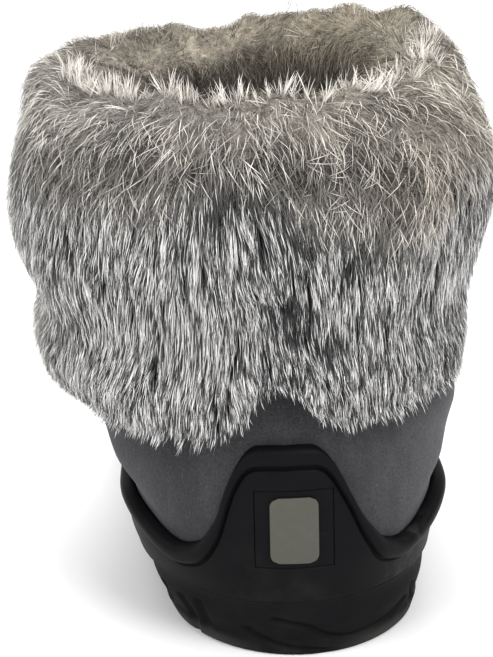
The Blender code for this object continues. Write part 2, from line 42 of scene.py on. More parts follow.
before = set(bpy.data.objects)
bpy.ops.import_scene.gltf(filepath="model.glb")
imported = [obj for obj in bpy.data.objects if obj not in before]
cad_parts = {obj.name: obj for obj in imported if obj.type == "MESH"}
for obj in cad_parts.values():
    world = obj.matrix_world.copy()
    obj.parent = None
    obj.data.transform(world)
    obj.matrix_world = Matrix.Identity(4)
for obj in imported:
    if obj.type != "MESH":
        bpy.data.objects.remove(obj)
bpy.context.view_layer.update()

# Each row is one level cut through the skin, the outer face of the upper. level is -1 on the tread, 0 at the
# feather edge, 1 at the instep and 2 at the collar. hollow is the share by which the back lies forward,
# reach how much of the foot the cut covers in front of the shaft, then come half-widths at five stations
# from back to front, and the share of the shaft's lean.
CUTS = [
    # level, hollow, reach, heel, counter, waist, ball, toe, lean
    (-1.00, 1.20, 0.925, 0.287, 0.290, 0.318, 0.420, 0.340, -0.22),
    (-0.50, 0.70, 0.949, 0.312, 0.369, 0.387, 0.456, 0.369, -0.10),
    (0.00, 0.40, 0.968, 0.332, 0.412, 0.430, 0.479, 0.397, 0.04),
    (0.08, 0.14, 0.989, 0.349, 0.426, 0.446, 0.500, 0.417, 0.10),
    (0.16, 0.00, 1.000, 0.369, 0.422, 0.444, 0.500, 0.417, 0.07),
    (0.26, 0.05, 0.986, 0.383, 0.438, 0.448, 0.475, 0.388, 0.14),
    (0.36, 0.22, 0.936, 0.393, 0.489, 0.466, 0.430, 0.323, 0.25),
    (0.44, 0.40, 0.837, 0.391, 0.500, 0.470, 0.378, 0.258, 0.28),
    (0.51, 0.57, 0.687, 0.375, 0.505, 0.470, 0.336, 0.213, 0.32),
    (0.60, 0.74, 0.493, 0.357, 0.500, 0.462, 0.297, 0.177, 0.40),
    (0.72, 0.91, 0.306, 0.335, 0.478, 0.472, 0.311, 0.179, 0.50),
    (0.86, 1.00, 0.156, 0.313, 0.451, 0.488, 0.362, 0.217, 0.62),
    (1.00, 1.00, 0.059, 0.299, 0.424, 0.484, 0.408, 0.269, 0.70),
    (1.33, 0.83, 0.013, 0.286, 0.411, 0.469, 0.411, 0.286, 0.80),
    (2.00, 0.31, 0.000, 0.263, 0.375, 0.433, 0.380, 0.263, 1.00),
]
STATIONS = (0.1, 0.25, 0.5, 0.75, 0.9)

# Where the boot's middle line lies, as shares of the toe's swing, along the foot from heel to toe
CURVE = [(0.0, 0.0), (0.3, 0.17), (0.5, 0.33), (0.65, 0.33), (0.8, -0.06), (0.9, -0.44), (1.0, -1.0)]

# Where things start and end along the foot, as shares of its length from the heel: the toe's rise, the
# arch's back and front ramps, the feather edge's climb from heel to ball, and the fading of the shaft's lean
TOE_RISE_FROM = 0.72
ARCH_BACK = (0.26, 0.34)
ARCH_FRONT = (0.42, 0.50)
FEATHER_CLIMB = (0.25, 0.62)
LEAN_FADE = (0.35, 0.80)

# The height of the shell's top line over the feather edge, as shares of the heel guard, by the angle from
# the back of the heel
TOP_LINE = [
    (0, 1.00), (5, 1.00), (7.5, 0.99), (9.2, 0.955), (10.6, 0.895), (12, 0.815), (13.6, 0.71),
    (15.5, 0.58), (18, 0.47), (21, 0.375), (25, 0.315), (29, 0.295), (33, 0.325), (38, 0.395),
    (43, 0.445), (55, 0.47), (75, 0.46), (100, 0.46), (120, 0.50), (138, 0.60), (152, 0.72),
    (166, 0.79), (180, 0.80), (194, 0.79),
]

# The grooves that sweep over the heel's side, each by its angle from the back and its level
SWEEPS = [
    [(34, -0.40), (32, -0.54), (31, -0.70), (30.5, -0.84), (31, -0.96)],
    [(27.5, -0.34), (26.8, -0.48), (26.5, -0.64), (25.5, -0.78), (23.5, -0.86), (20.5, -0.93)],
    [(13.5, -0.56), (11.5, -0.66), (8.5, -0.75), (5, -0.81), (0.5, -0.86), (-3.5, -0.89), (-7, -0.93)],
    [
        (5.5, -0.36), (1, -0.42), (-3, -0.48), (-5.5, -0.59), (-8.5, -0.69), (-12, -0.75), (-16, -0.77),
        (-22, -0.75), (-29, -0.67), (-34, -0.57),
    ],
    [(42, -0.42), (41, -0.60), (41.5, -0.80)],
    [(-38, -0.44), (-39, -0.62), (-38, -0.82)],
]

# The height of the fur's hem as shares of the hem's height, by the angle from the back towards the wearer's
# left. It has a notch at the middle of the back.
HEM_LINE = [
    (-180, 1.20), (-160, 1.18), (-130, 1.09), (-80, 1.01), (-38, 1.035), (-24, 1.02), (-12, 1.035),
    (-8, 1.07), (-4, 1.17), (0, 1.19), (4, 1.17), (8, 1.08), (13, 1.00), (24, 0.970), (37, 0.985),
    (60, 1.05), (90, 1.07), (130, 1.09), (160, 1.18), (180, 1.20),
]

# Each row is one course of the cuff's outer face, from the hem up. rise is the share of the way to the
# collar's rim, and left and right are the pile's depth on the wearer's left and right as shares of the pile.
FUR_FACE = [
    # rise, left, right
    (0.00, 0.54, 0.09),
    (0.06, 0.70, 0.16),
    (0.20, 0.67, 0.33),
    (0.32, 0.88, 0.54),
    (0.52, 0.96, 0.71),
    (0.85, 0.94, 0.87),
    (1.06, 0.74, 0.74),
]


def slopes_at(xs, ys):
    """The slope at each point of a smooth curve. ys holds a value or an array for each of xs."""
    steps = np.diff(xs).reshape(-1, *[1] * (ys.ndim - 1))
    slopes = np.diff(ys, axis=0) / steps
    inner = (slopes[:-1] * steps[1:] + slopes[1:] * steps[:-1]) / (steps[:-1] + steps[1:])
    return np.concatenate([slopes[:1], inner, slopes[-1:]])


def arc(u, step, start, end, leaving, arriving):
    """A curve from start to end over a step, read at the share u of it, with its slopes at both ends."""
    near = (1 + 2 * u) * (1 - u) ** 2 * start + u * (1 - u) ** 2 * step * leaving
    return near + u * u * (3 - 2 * u) * end + u * u * (u - 1) * step * arriving


def smooth(xs, ys, x):
    """A smooth curve through the points (xs, ys), read at x, and level past its ends. ys holds a value or an
    array for each of xs."""
    xs, ys = np.asarray(xs, float), np.asarray(ys, float)
    slopes = slopes_at(xs, ys)
    x = np.clip(np.asarray(x, float), xs[0], xs[-1])
    i = np.clip(np.searchsorted(xs, x, side="right") - 1, 0, len(xs) - 2)
    shape = (*x.shape, *[1] * (ys.ndim - 1))
    step = (xs[i + 1] - xs[i]).reshape(shape)
    return arc((x - xs[i]).reshape(shape) / step, step, ys[i], ys[i + 1], slopes[i], slopes[i + 1])


def ease(x, low, high):
    """0 below low and 1 above high, turning smoothly between them."""
    u = np.clip((np.asarray(x, float) - low) / (high - low), 0, 1)
    return u * u * (3 - 2 * u)


def column(rows, index):
    return np.array([row[index] for row in rows], float)


def length(name, description, default):
    """A property that holds a length in metres."""
    return FloatProperty(name=name, description=description, default=default, unit="LENGTH")


def amount(name, description, default):
    """A property that holds a number without a unit."""
    return FloatProperty(name=name, description=description, default=default)


def number(name, description, default):
    """A property that holds a whole number."""
    return IntProperty(name=name, description=description, default=default)


def tint(name, description, default):
    """A property that holds a linear colour."""
    return FloatVectorProperty(name=name, description=description, subtype="COLOR", default=default)


class BootSizes(bpy.types.PropertyGroup):
    """The boot's own sizes. All but the suede puff match the CAD frame."""

    foot_length: length("Foot length", "Length of the skin over heel and toe", 0.262)
    shaft_depth: length("Shaft depth", "Depth of the shaft, front to back", 0.1018)
    heel_reach: length("Heel reach", "How far the heel stands behind the origin", 0.0348)
    heel_hollow: length("Heel hollow", "How far the back curves in over the heel", 0.0058)
    ball_width: length("Ball width", "Width of the skin at the ball", 0.103)
    shaft_width: length("Shaft width", "Width of the skin at the ankle", 0.112)
    toe_swing: length("Toe swing", "How far the toe curves to the inner side", 0.009)
    shaft_lean: length("Shaft lean", "How far the shaft leans to the outer side", 0.008)
    heel_height: length("Heel height", "Thickness of the sole at the heel", 0.020)
    ball_height: length("Ball height", "Thickness of the sole at the ball", 0.015)
    toe_spring: length("Toe spring", "How far the toe stands off the floor", 0.012)
    arch_rise: length("Arch rise", "How far the arch stands off the floor", 0.005)
    instep_height: length("Instep height", "Height of the foot part", 0.100)
    collar_height: length("Collar height", "Height of the collar over the sole", 0.147)
    upper_wall: length("Upper wall", "Thickness of the suede and its lining", 0.0025)
    shell_wall: length("Shell wall", "Thickness of the rubber shell", 0.0028)
    gap: length("Gap", "Room between neighbouring pieces", 0.0004)
    heel_guard: length("Heel guard", "Height of the shell's plateau at the heel", 0.051)
    band_width: length("Band width", "Width of the raised band", 0.0062)
    flange_rise: length("Flange rise", "How far the sole's foot stands out", 0.0010)
    suede_puff: length("Suede puff", "How far the suede swells over the shell's top at the sides", 0.0024)
    badge_size: length("Badge size", "Side of the square heel badge", 0.0244)


class FurSizes(bpy.types.PropertyGroup):
    """The cuff's sizes and the make-up of its hair."""

    hem_height: length("Hem height", "Height of the cuff's hem at the sides", 0.078)
    pile: length("Pile", "Thickness of the fur outside the shaft", 0.026)
    inside: length("Pile inside", "Thickness of the fur inside the collar", 0.014)
    crest: length("Crest", "Height of the fur over the collar's rim", 0.0135)
    crest_tilt: length("Crest tilt", "How much lower the crest is in front on the left", 0.010)
    corner_fullness: amount("Corner fullness", "Share by which the fur is deeper at its corners", 0.20)
    leg: length("Leg", "Depth of the fur inside the collar", 0.040)
    hair_length: length("Hair length", "Length of the hanging hairs", 0.0140)
    hair_width: length("Hair width", "Width of a hair strip", 0.00027)
    hair_count: number("Hairs per piece", "Number of hanging hairs in each piece", 33000)
    down_length: length("Down length", "Length of the soft down", 0.008)
    down_count: number("Down hairs", "Number of soft hairs in each piece", 27000)
    clump_count: number("Clumps", "Number of clumps that the hanging hairs gather in", 4200)
    guard_density: amount("Guard hairs", "Bunches of stray hairs to the square metre", 37000.0)
    rim_density: amount("Rim hairs", "Bunches of upright hairs to the square metre of the rim", 370000.0)
    corner_tuft: length("Corner tuft", "How much fuller the fur is at the corners of its roll", 0.0065)
    seed: number("Seed", "Fixed seed of the hair's chance", 11)


class BootColours(bpy.types.PropertyGroup):
    """The boot's colours, as linear values."""

    rubber: tint("Rubber", "Black rubber of the shell", (0.0034, 0.0035, 0.0040))
    sole: tint("Sole", "Black rubber of the outsole", (0.0036, 0.0037, 0.0042))
    dust: tint("Dust", "Pale dust on the rubber", (0.080, 0.078, 0.073))
    suede: tint("Suede", "Charcoal suede", (0.030, 0.030, 0.033))
    # This pale colour serves both the brushed patches and the painted light on one side of the suede
    suede_brushed_and_lit: tint("Brushed suede", "Suede brushed the pale way", (0.066, 0.0655, 0.069))
    fleece: tint("Fleece", "Fleece of the footbed", (0.145, 0.135, 0.120))
    hair_dark: tint("Dark hair", "Darkest hair", (0.006, 0.0055, 0.006))
    hair_silver: tint("Silver hair", "Palest grey hair", (0.880, 0.878, 0.880))
    hair_beige: tint("Beige hair", "Palest warm hair", (0.820, 0.715, 0.550))
    reflector: tint("Reflector", "Pale reflector patch", (0.062, 0.060, 0.048))


class Last:
    """The form that every piece is worked out from: the outer face of the upper, by angle and level."""

    def __init__(self, sizes, fur):
        self.s = sizes
        self.f = fur

    def along(self, y):
        return (self.s.heel_reach - y) / self.s.foot_length

    def toe_rise(self, y):
        return self.s.toe_spring * np.clip((self.along(y) - TOE_RISE_FROM) / (1 - TOE_RISE_FROM), 0, 2) ** 2

    def tread(self, y):
        q = self.along(y)
        return self.toe_rise(y) + self.s.arch_rise * ease(q, *ARCH_BACK) * (1 - ease(q, *ARCH_FRONT))

    def feather(self, y):
        q = self.along(y)
        climb = (self.s.ball_height - self.s.heel_height) * ease(q, *FEATHER_CLIMB)
        return self.toe_rise(y) + self.s.heel_height + climb

    def height(self, level, y):
        s = self.s
        low, feather = self.tread(y), self.feather(y)
        below = low + (feather - low) * (1 + np.minimum(level, 0))
        shaft = s.collar_height - s.instep_height
        above = s.instep_height * np.clip(level, 0, 1) + shaft * np.clip(level - 1, 0, None)
        return np.where(level < 0, below, feather + above)

    def skin(self, angle, level):
        """Points on the skin. angle runs from 0 at the back, by the wearer's left side, to pi at the toe."""
        s = self.s
        angle, level = np.broadcast_arrays(np.asarray(angle, float), np.asarray(level, float))
        levels = column(CUTS, 0)
        hollow, reach, lean = (smooth(levels, column(CUTS, i), level) for i in (1, 2, 8))
        t = (1 - np.cos(angle)) / 2
        back = s.heel_reach - s.heel_hollow * hollow
        front = s.heel_reach - s.shaft_depth - (s.foot_length - s.shaft_depth) * reach
        y = back + (front - back) * t
        fore = s.shaft_width + (s.ball_width - s.shaft_width) * reach
        units = (s.shaft_width, s.shaft_width, fore, fore, fore)
        full = []
        for index, (station, unit) in enumerate(zip(STATIONS, units)):
            half = smooth(levels, column(CUTS, 3 + index), level) * unit
            full.append(half / (2 * math.sqrt(station * (1 - station))))
        full.insert(0, full[0] + (full[0] - full[1]) * 0.35)
        full.append(full[-1] + (full[-1] - full[-2]) * 0.35)
        half = self.across(np.array((0.0, *STATIONS, 1.0)), np.array(full), t)
        q = self.along(y)
        curve = s.toe_swing * smooth(*zip(*CURVE), q)
        x = half * np.sin(angle) + curve + s.shaft_lean * lean * (1 - ease(q, *LEAN_FADE))
        return np.stack([x, y, self.height(level, y)], -1)

    @staticmethod
    def across(stations, columns, t):
        """Reads a smooth curve at t through a value for each station, which may differ between points."""
        slopes = slopes_at(stations, columns)
        out = np.zeros(np.shape(t))
        for k, step in enumerate(np.diff(stations)):
            u = (t - stations[k]) / step
            value = arc(u, step, columns[k], columns[k + 1], slopes[k], slopes[k + 1])
            out = np.where((u >= 0) & (u <= 1), value, out)
        return out

    def normal(self, angle, level):
        """The way out of the skin, level at and below the feather edge."""
        angle, level = np.broadcast_arrays(np.asarray(angle, float), np.asarray(level, float))
        level = np.minimum(level, 2)
        step = 1e-4
        up = self.skin(angle, np.clip(level + step, -1, 2)) - self.skin(angle, np.clip(level - step, -1, 2))
        on = self.skin(angle + step, level) - self.skin(angle - step, level)
        n = np.cross(up, on)
        n /= np.linalg.norm(n, axis=-1, keepdims=True)
        n[..., 2] *= ease(level, 0.0, 0.12)
        return n / np.linalg.norm(n, axis=-1, keepdims=True)

    def off(self, angle, level, out):
        """Points a distance outside the skin, or inside it where out is below 0."""
        return self.skin(angle, level) + self.normal(angle, level) * np.asarray(out, float)[..., None]

    def way_out(self, angle, level):
        """The way out of the skin, laid flat."""
        n = self.normal(angle, level)
        n[..., 2] = 0
        return n / np.linalg.norm(n, axis=-1, keepdims=True)

    def top_line(self, angle):
        degrees = np.abs(np.degrees(np.arctan2(np.sin(angle), np.cos(angle))))
        return smooth(*zip(*TOP_LINE), degrees) * self.s.heel_guard / self.s.instep_height

    def hem(self, angle):
        s, f = self.s, self.f
        degrees = np.degrees(np.arctan2(np.sin(angle), np.cos(angle)))
        height = f.hem_height * smooth(*zip(*HEM_LINE), degrees)
        near = self.skin(angle, f.hem_height / (s.heel_height + s.instep_height))
        over = height - self.feather(near[..., 1])
        shaft = 1 + (over - s.instep_height) / (s.collar_height - s.instep_height)
        return np.where(over < s.instep_height, over / s.instep_height, shaft)

    def pile(self, angle, rise):
        """How deep the fur is on the cuff's outer face."""
        left, right = (smooth(column(FUR_FACE, 0), column(FUR_FACE, i), rise) for i in (1, 2))
        corner = 1 + self.f.corner_fullness * np.sin(2 * angle) ** 2
        return self.f.pile * corner * ((left + right) / 2 + (left - right) / 2 * np.sin(angle))

    def crest(self, angle):
        """How far the fur's crest stands over the collar's rim."""
        return self.f.crest - self.f.crest_tilt * np.sin(angle) * (1 - np.cos(angle)) / 2

    def plumb(self, turn, level, low, steps=6):
        """The angle reached by running straight down the skin's slope from one level to a lower one."""
        drop, small = (low - level) / steps, 1e-3
        for _ in range(steps):
            way = self.way_out(turn, level)
            aside = np.stack([-way[..., 1], way[..., 0]], -1)
            by_turn = self.skin(turn + small, level) - self.skin(turn - small, level)
            by_turn = (by_turn[..., :2] * aside).sum(-1)
            by_level = self.skin(turn, level + small) - self.skin(turn, level - small)
            by_level = (by_level[..., :2] * aside).sum(-1)
            turn = turn - by_level / by_turn * drop
            level = level + drop
        return turn


def boot_last():
    return Last(bpy.context.scene.boot_sizes, bpy.context.scene.fur_sizes)


def columns_around(count, cluster=0.55):
    """The angles of the columns, closest together round the heel."""
    u = np.arange(count) * 2 * math.pi / count
    return u - cluster * np.sin(u)


def new_piece(name, points, faces, material, shade=True):
    """A mesh object made from the points and faces as given, linked into the scene."""
    mesh = bpy.data.meshes.new(name)
    points = np.asarray(points, np.float32).reshape(-1, 3)
    faces = np.asarray(faces, np.int32)
    mesh.vertices.add(len(points))
    mesh.vertices.foreach_set("co", points.ravel())
    mesh.loops.add(faces.size)
    mesh.loops.foreach_set("vertex_index", faces.ravel())
    mesh.polygons.add(len(faces))
    mesh.polygons.foreach_set("loop_start", np.arange(0, faces.size, faces.shape[1], dtype=np.int32))
    mesh.update(calc_edges=True)
    mesh.validate()
    if shade:
        mesh.shade_smooth()
    mesh.materials.append(material)
    piece = bpy.data.objects.new(name, mesh)
    bpy.context.scene.collection.objects.link(piece)
    return piece


def ring_faces(rows, columns, closed):
    """Four-sided faces between rings in order, and from the last to the first where the body is closed."""
    i, a = np.meshgrid(np.arange(rows if closed else rows - 1), np.arange(columns), indexing="ij")
    j, b = (i + 1) % rows, (a + 1) % columns
    return np.stack([i * columns + a, j * columns + a, j * columns + b, i * columns + b], -1).reshape(-1, 4)


def face_outwards(piece):
    work = bmesh.new()
    work.from_mesh(piece.data)
    bmesh.ops.recalc_face_normals(work, faces=work.faces)
    work.to_mesh(piece.data)
    work.free()
    return piece


def loft(name, rings, material):
    """A closed body whose skin runs through the rings in order and back to the first."""
    rings = np.array(rings)
    return face_outwards(new_piece(name, rings, ring_faces(len(rings), rings.shape[1], True), material))


def slab(name, rings, material):
    """A closed body whose side runs up through the rings, with faces across the first and the last."""
    rings = np.array(rings)
    rows, around = rings.shape[:2]
    faces = ring_faces(rows, around, False).tolist()
    half = around // 2
    for first in (0, (rows - 1) * around):
        for a in range(half):
            across = [a, a + 1, (around - a - 1) % around, (around - a) % around]
            faces.append([first + corner for corner in across])
    mesh = bpy.data.meshes.new(name)
    mesh.from_pydata(rings.reshape(-1, 3).tolist(), [], [list(dict.fromkeys(face)) for face in faces])
    mesh.validate()
    mesh.shade_smooth()
    mesh.materials.append(material)
    piece = bpy.data.objects.new(name, mesh)
    bpy.context.scene.collection.objects.link(piece)
    return face_outwards(piece)


def cut_away(piece, cutter):
    """Takes the cutter's body out of the piece."""
    step = piece.modifiers.new("cut", "BOOLEAN")
    step.operation = "DIFFERENCE"
    step.solver = "EXACT"
    step.object = cutter
    cut = piece.evaluated_get(bpy.context.evaluated_depsgraph_get())
    piece.data = bpy.data.meshes.new_from_object(cut)
    piece.modifiers.clear()
    bpy.data.objects.remove(cutter)


class Wire:
    """A shader socket that works in Python expressions."""

    def __init__(self, bench, socket):
        self.bench = bench
        self.socket = socket

    def math(self, operation, *values):
        inputs = {i: value for i, value in enumerate((self, *values))}
        return self.bench.node("ShaderNodeMath", {"operation": operation}, inputs)

    def __add__(self, other):
        return self.math("ADD", other)

    __radd__ = __add__

    def __sub__(self, other):
        return self.math("SUBTRACT", other)

    def __rsub__(self, other):
        return self.math("MULTIPLY", -1.0).math("ADD", other)

    def __mul__(self, other):
        return self.math("MULTIPLY", other)

    __rmul__ = __mul__

    def between(self, low, high):
        """0 below low and 1 above high, smoothly."""
        inputs = {"Value": self, "From Min": low, "From Max": high}
        return self.bench.node("ShaderNodeMapRange", {"interpolation_type": "SMOOTHSTEP"}, inputs)


class Bench:
    """One material's node tree."""

    def __init__(self, name, **surface):
        self.material = bpy.data.materials.new(name)
        self.material.use_nodes = True
        self.tree = self.material.node_tree
        self.surface = self.tree.nodes["Principled BSDF"]
        self.set(**surface)

    def feed(self, socket, value):
        if isinstance(value, Wire):
            self.tree.links.new(value.socket, socket)
        elif socket.type == "RGBA":
            socket.default_value = (*value[:3], 1)
        else:
            socket.default_value = value

    def set(self, **surface):
        """Sets or links the surface's own sockets, with _ for a space in their names."""
        for name, value in surface.items():
            self.feed(self.surface.inputs[name.replace("_", " ")], value)
        return self

    def node(self, kind, settings=None, inputs=None, out=0):
        made = self.tree.nodes.new(kind)
        for name, value in (settings or {}).items():
            setattr(made, name, value)
        for name, value in (inputs or {}).items():
            self.feed(made.inputs[name], value)
        return Wire(self, made.outputs[out])

    def mix(self, factor, first, second):
        """A colour between two colours."""
        return self.node("ShaderNodeMix", {"data_type": "RGBA"}, {0: factor, 6: first, 7: second}, out=2)

    def place(self):
        return self.node("ShaderNodeTexCoord", out="Object")

    def stretched(self, x, y, z):
        """Object coordinates, drawn out along an axis by a scale for each."""
        return self.node("ShaderNodeMapping", None, {"Vector": self.place(), "Scale": (x, y, z)})

    def height(self):
        """Height over the floor, in metres."""
        return self.node("ShaderNodeSeparateXYZ", None, {0: self.place()}, out="Z")

    def gap_from(self, point):
        """Distance from a point, in metres."""
        inputs = {0: self.place(), 1: point}
        return self.node("ShaderNodeVectorMath", {"operation": "DISTANCE"}, inputs, out="Value")

    def noise(self, scale, detail=3.0, rough=0.55, vector=None):
        inputs = {"Vector": vector or self.place(), "Scale": scale, "Detail": detail, "Roughness": rough}
        return self.node("ShaderNodeTexNoise", None, inputs, out="Fac")

    def attribute(self, name):
        return self.node("ShaderNodeAttribute", {"attribute_name": name}, out="Fac")

    def bump(self, height, distance, strength):
        inputs = {"Height": height, "Distance": distance, "Strength": strength}
        return self.node("ShaderNodeBump", None, inputs)


def colour(name, times=1.0):
    """One of the boot's colours, made lighter or darker."""
    return [value * times for value in getattr(bpy.context.scene.boot_colours, name)]


# Where the rubber is scuffed, the point that the outsole's flange grows paler away from, and the middle of
# the painted light that makes one side of the suede paler
SCUFFED = (-0.037, 0.014, 0.026)
PALER_FLANK_FROM = (0.0, 0.045, 0.0)
PAINTED_LIGHT_MIDDLE = (-0.050, -0.005, 0.052)


def shell_rubber():
    """Moulded black rubber: satin, softly mottled, dusty low down and in patches, with fine scuffs."""
    bench = Bench("shell_rubber")
    mottle = bench.noise(90, 4)
    dusty = bench.noise(28, 5, 0.65).between(0.50, 0.78) * (1 - bench.height().between(0.018, 0.062))
    scuff = bench.noise(60, 6, 0.7, bench.stretched(1, 1, 7)).between(0.62, 0.74)
    tone = bench.mix(mottle, colour("rubber"), colour("rubber", 1.5))
    near_scuff = 1 - bench.gap_from(SCUFFED).between(0.003, 0.020)
    rubbed = near_scuff * bench.noise(150, 6, 0.75).between(0.46, 0.72)
    tone = bench.mix(dusty * 0.14 + scuff * 0.05 + rubbed * 0.34, tone, colour("dust"))
    grain = bench.noise(2400, 2) * 0.5 + bench.noise(500, 3)
    rough = 0.44 + mottle * 0.12 + dusty * 0.2 + scuff * 0.08
    grain = bench.bump(grain, 0.00006, 0.7)
    bench.set(Base_Color=tone, Roughness=rough, Specular_IOR_Level=0.05, Normal=grain)
    return bench.material


def sole_rubber():
    """The outsole's rubber: matt black, with pale dust in its grooves and on its flange, and paler low on its
    sides.
    """
    bench = Bench("sole_rubber")
    mottle = bench.noise(120, 4)
    low = 1 - bench.height().between(0.0012, 0.0058)
    # The flange grows paler low down on its sides, away from the middle of the back
    flank = bench.gap_from(PALER_FLANK_FROM).between(0.016, 0.034)
    dusty = bench.noise(45, 5, 0.7).between(0.42, 0.72)
    tone = bench.mix(mottle, colour("sole"), colour("sole", 1.6))
    tone = bench.mix(low * (0.02 + dusty * 0.10 + flank * 0.38) + dusty * 0.035, tone, colour("dust"))
    grain = bench.noise(1500, 3)
    rough = 0.56 + mottle * 0.14 + low * 0.1
    grain = bench.bump(grain, 0.00008, 0.8)
    bench.set(Base_Color=tone, Roughness=rough, Specular_IOR_Level=0.05, Normal=grain)
    return bench.material


def suede():
    """Charcoal suede: a short nap, brushed pale in patches, darker where it is rubbed flat, and one side
    painted paler as painted light.
    """
    bench = Bench("suede")
    nap = bench.noise(1500, 4, 0.75)
    brushed = bench.noise(42, 4, 0.6, bench.stretched(1, 1, 0.6)).between(0.34, 0.66)
    streak = bench.noise(230, 4, 0.65, bench.stretched(1, 1, 0.45)).between(0.3, 0.75)
    # painted light: the suede round this point, on the side where the light falls, is painted paler
    painted_lit_side = (1 - bench.gap_from(PAINTED_LIGHT_MIDDLE).between(0.012, 0.045)) * 0.45
    tone = bench.mix(brushed * 0.45 + streak * 0.25 + painted_lit_side, colour("suede"), colour("suede_brushed_and_lit"))
    tone = bench.mix((1 - nap.between(0.36, 0.60)) * 0.60, tone, colour("suede", 0.45))
    speckle = bench.noise(900, 3, 0.8).between(0.58, 0.74) * 0.45
    tone = bench.mix(speckle, tone, colour("suede_brushed_and_lit", 1.8))
    grain = nap + bench.noise(600, 3) * 0.8
    bench.set(Base_Color=tone, Roughness=0.88 + nap * 0.1, Normal=bench.bump(grain, 0.0003, 0.7))
    bench.set(Specular_IOR_Level=0.15, Sheen_Weight=0.16, Sheen_Roughness=0.5, Sheen_Tint=(0.7, 0.7, 0.75))
    return bench.material


def fleece():
    """Short fleece of the footbed."""
    bench = Bench("footbed_fleece")
    tuft = bench.noise(620, 5, 0.7)
    tone = bench.mix(tuft.between(0.3, 0.7), colour("fleece", 0.5), colour("fleece"))
    bench.set(Base_Color=tone, Roughness=0.98, Normal=bench.bump(tuft, 0.0012, 0.9))
    return bench.material


def undercoat():
    """The dense soft wool under the hairs, whose tone and warmth are its own attributes."""
    bench = Bench("fur_undercoat")
    tuft = bench.noise(420, 5, 0.7, bench.stretched(1, 1, 0.45))
    pale = bench.mix(bench.attribute("warm"), colour("hair_silver"), colour("hair_beige"))
    value = bench.attribute("tip") * (0.55 + tuft.between(0.3, 0.7) * 0.6)
    tone = bench.mix(value, colour("hair_dark"), pale)
    bench.set(Base_Color=tone, Roughness=1.0, Specular_IOR_Level=0.0, Normal=bench.bump(tuft, 0.0015, 0.8))
    return bench.material


def hair():
    """Hair that runs from its root's tone to its tip's, which are its own attributes, as its warmth is."""
    bench = Bench("fur_hair")
    root = bench.attribute("root")
    value = root + (bench.attribute("tip") - root) * bench.attribute("along").between(0.26, 0.66)
    pale = bench.mix(bench.attribute("warm"), colour("hair_silver"), colour("hair_beige"))
    bench.set(Base_Color=bench.mix(value, colour("hair_dark"), pale), Roughness=0.7, Specular_IOR_Level=0.12)
    return bench.material


def reflector_film():
    """A plain pale film, a little worn."""
    bench = Bench("reflector_film")
    worn = bench.noise(260, 4).between(0.40, 0.75) * 0.5
    tone = bench.mix(worn, colour("reflector"), colour("reflector", 1.25))
    grain = bench.bump(bench.noise(1500, 2), 0.00003, 0.6)
    bench.set(Base_Color=tone, Roughness=0.50, Specular_IOR_Level=0.25, Normal=grain)
    return bench.material


class BOOT_OT_stage(bpy.types.Operator):
    """Sets the pale floor, the soft lights and the camera"""

    bl_idname = "boot.stage"
    bl_label = "Stage"

    def execute(self, context):
        azimuth, elevation, roll = math.radians(179), math.radians(18.72), math.radians(-1.20)
        target, distance = Vector((0.0127, 0.0, 0.0980)), 0.721
        level = Vector((math.sin(azimuth), -math.cos(azimuth), 0))
        back = level * math.cos(elevation) + Vector((0, 0, math.sin(elevation)))
        right = (-back).cross(Vector((0, 0, 1))).normalized()
        up = right.cross(-back)
        right, up = right * math.cos(roll) + up * math.sin(roll), up * math.cos(roll) - right * math.sin(roll)
        data = bpy.data.cameras.new("camera")
        data.lens = 126.0
        data.clip_start = 0.01
        camera = bpy.data.objects.new("camera", data)
        turn = Matrix((right, up, back)).transposed().to_4x4()
        camera.matrix_world = Matrix.Translation(target + back * distance) @ turn
        context.scene.collection.objects.link(camera)
        context.scene.camera = camera
        self.floor()
        for name, place, size, power in (
            ("key", (-0.55, 0.75, 1.05), 0.7, 13.0),
            ("fill", (0.85, 0.60, 0.75), 0.8, 7.0),
            ("front", (0.1, -0.9, 1.0), 0.9, 8.0),
            ("top", (0.0, 0.0, 1.4), 0.8, 7.0),
        ):
            self.light(context, name, Vector(place), size, power)
        world = bpy.data.worlds.new("studio")
        world.use_nodes = True
        world.node_tree.nodes["Background"].inputs["Color"].default_value = (1, 1, 1, 1)
        world.node_tree.nodes["Background"].inputs["Strength"].default_value = 0.75
        context.scene.world = world
        context.scene.view_settings.view_transform = "Standard"
        return {"FINISHED"}

    def floor(self):
        bench = Bench("floor", Roughness=0.9, Base_Color=(0.86, 0.86, 0.86))
        mesh = bpy.data.meshes.new("floor")
        half = 3.0
        corners = [(-half, -half, 0), (half, -half, 0), (half, half, 0), (-half, half, 0)]
        mesh.from_pydata(corners, [], [(0, 1, 2, 3)])
        mesh.materials.append(bench.material)
        floor = bpy.data.objects.new("floor", mesh)
        bpy.context.scene.collection.objects.link(floor)

    def light(self, context, name, place, size, power):
        data = bpy.data.lights.new(name, "AREA")
        data.size = size
        data.energy = power
        lamp = bpy.data.objects.new(name, data)
        lamp.location = place
        lamp.rotation_euler = (Vector((0, 0, 0.1)) - place).to_track_quat("-Z", "Y").to_euler()
        context.scene.collection.objects.link(lamp)


def sweep_depth(last, angle, level, width=0.0024, depth=0.0013):
    """How deep the heel's sweeping grooves are at a place on the side."""
    turn = np.arctan2(np.sin(angle), np.cos(angle))
    deep = np.zeros(np.shape(level))
    for line in SWEEPS:
        fine = np.linspace(0, len(line) - 1, 14 * len(line))
        turns = np.radians(smooth(range(len(line)), column(line, 0), fine))
        levels = smooth(range(len(line)), column(line, 1), fine)
        aside = (turn[..., None] - turns) * last.s.shaft_depth * 0.38
        gaps = np.hypot(aside, (level[..., None] - levels) * last.s.heel_height)
        deep = np.maximum(deep, np.clip(1 - (gaps.min(-1) / (width / 2)) ** 2, 0, 1))
    return deep * depth


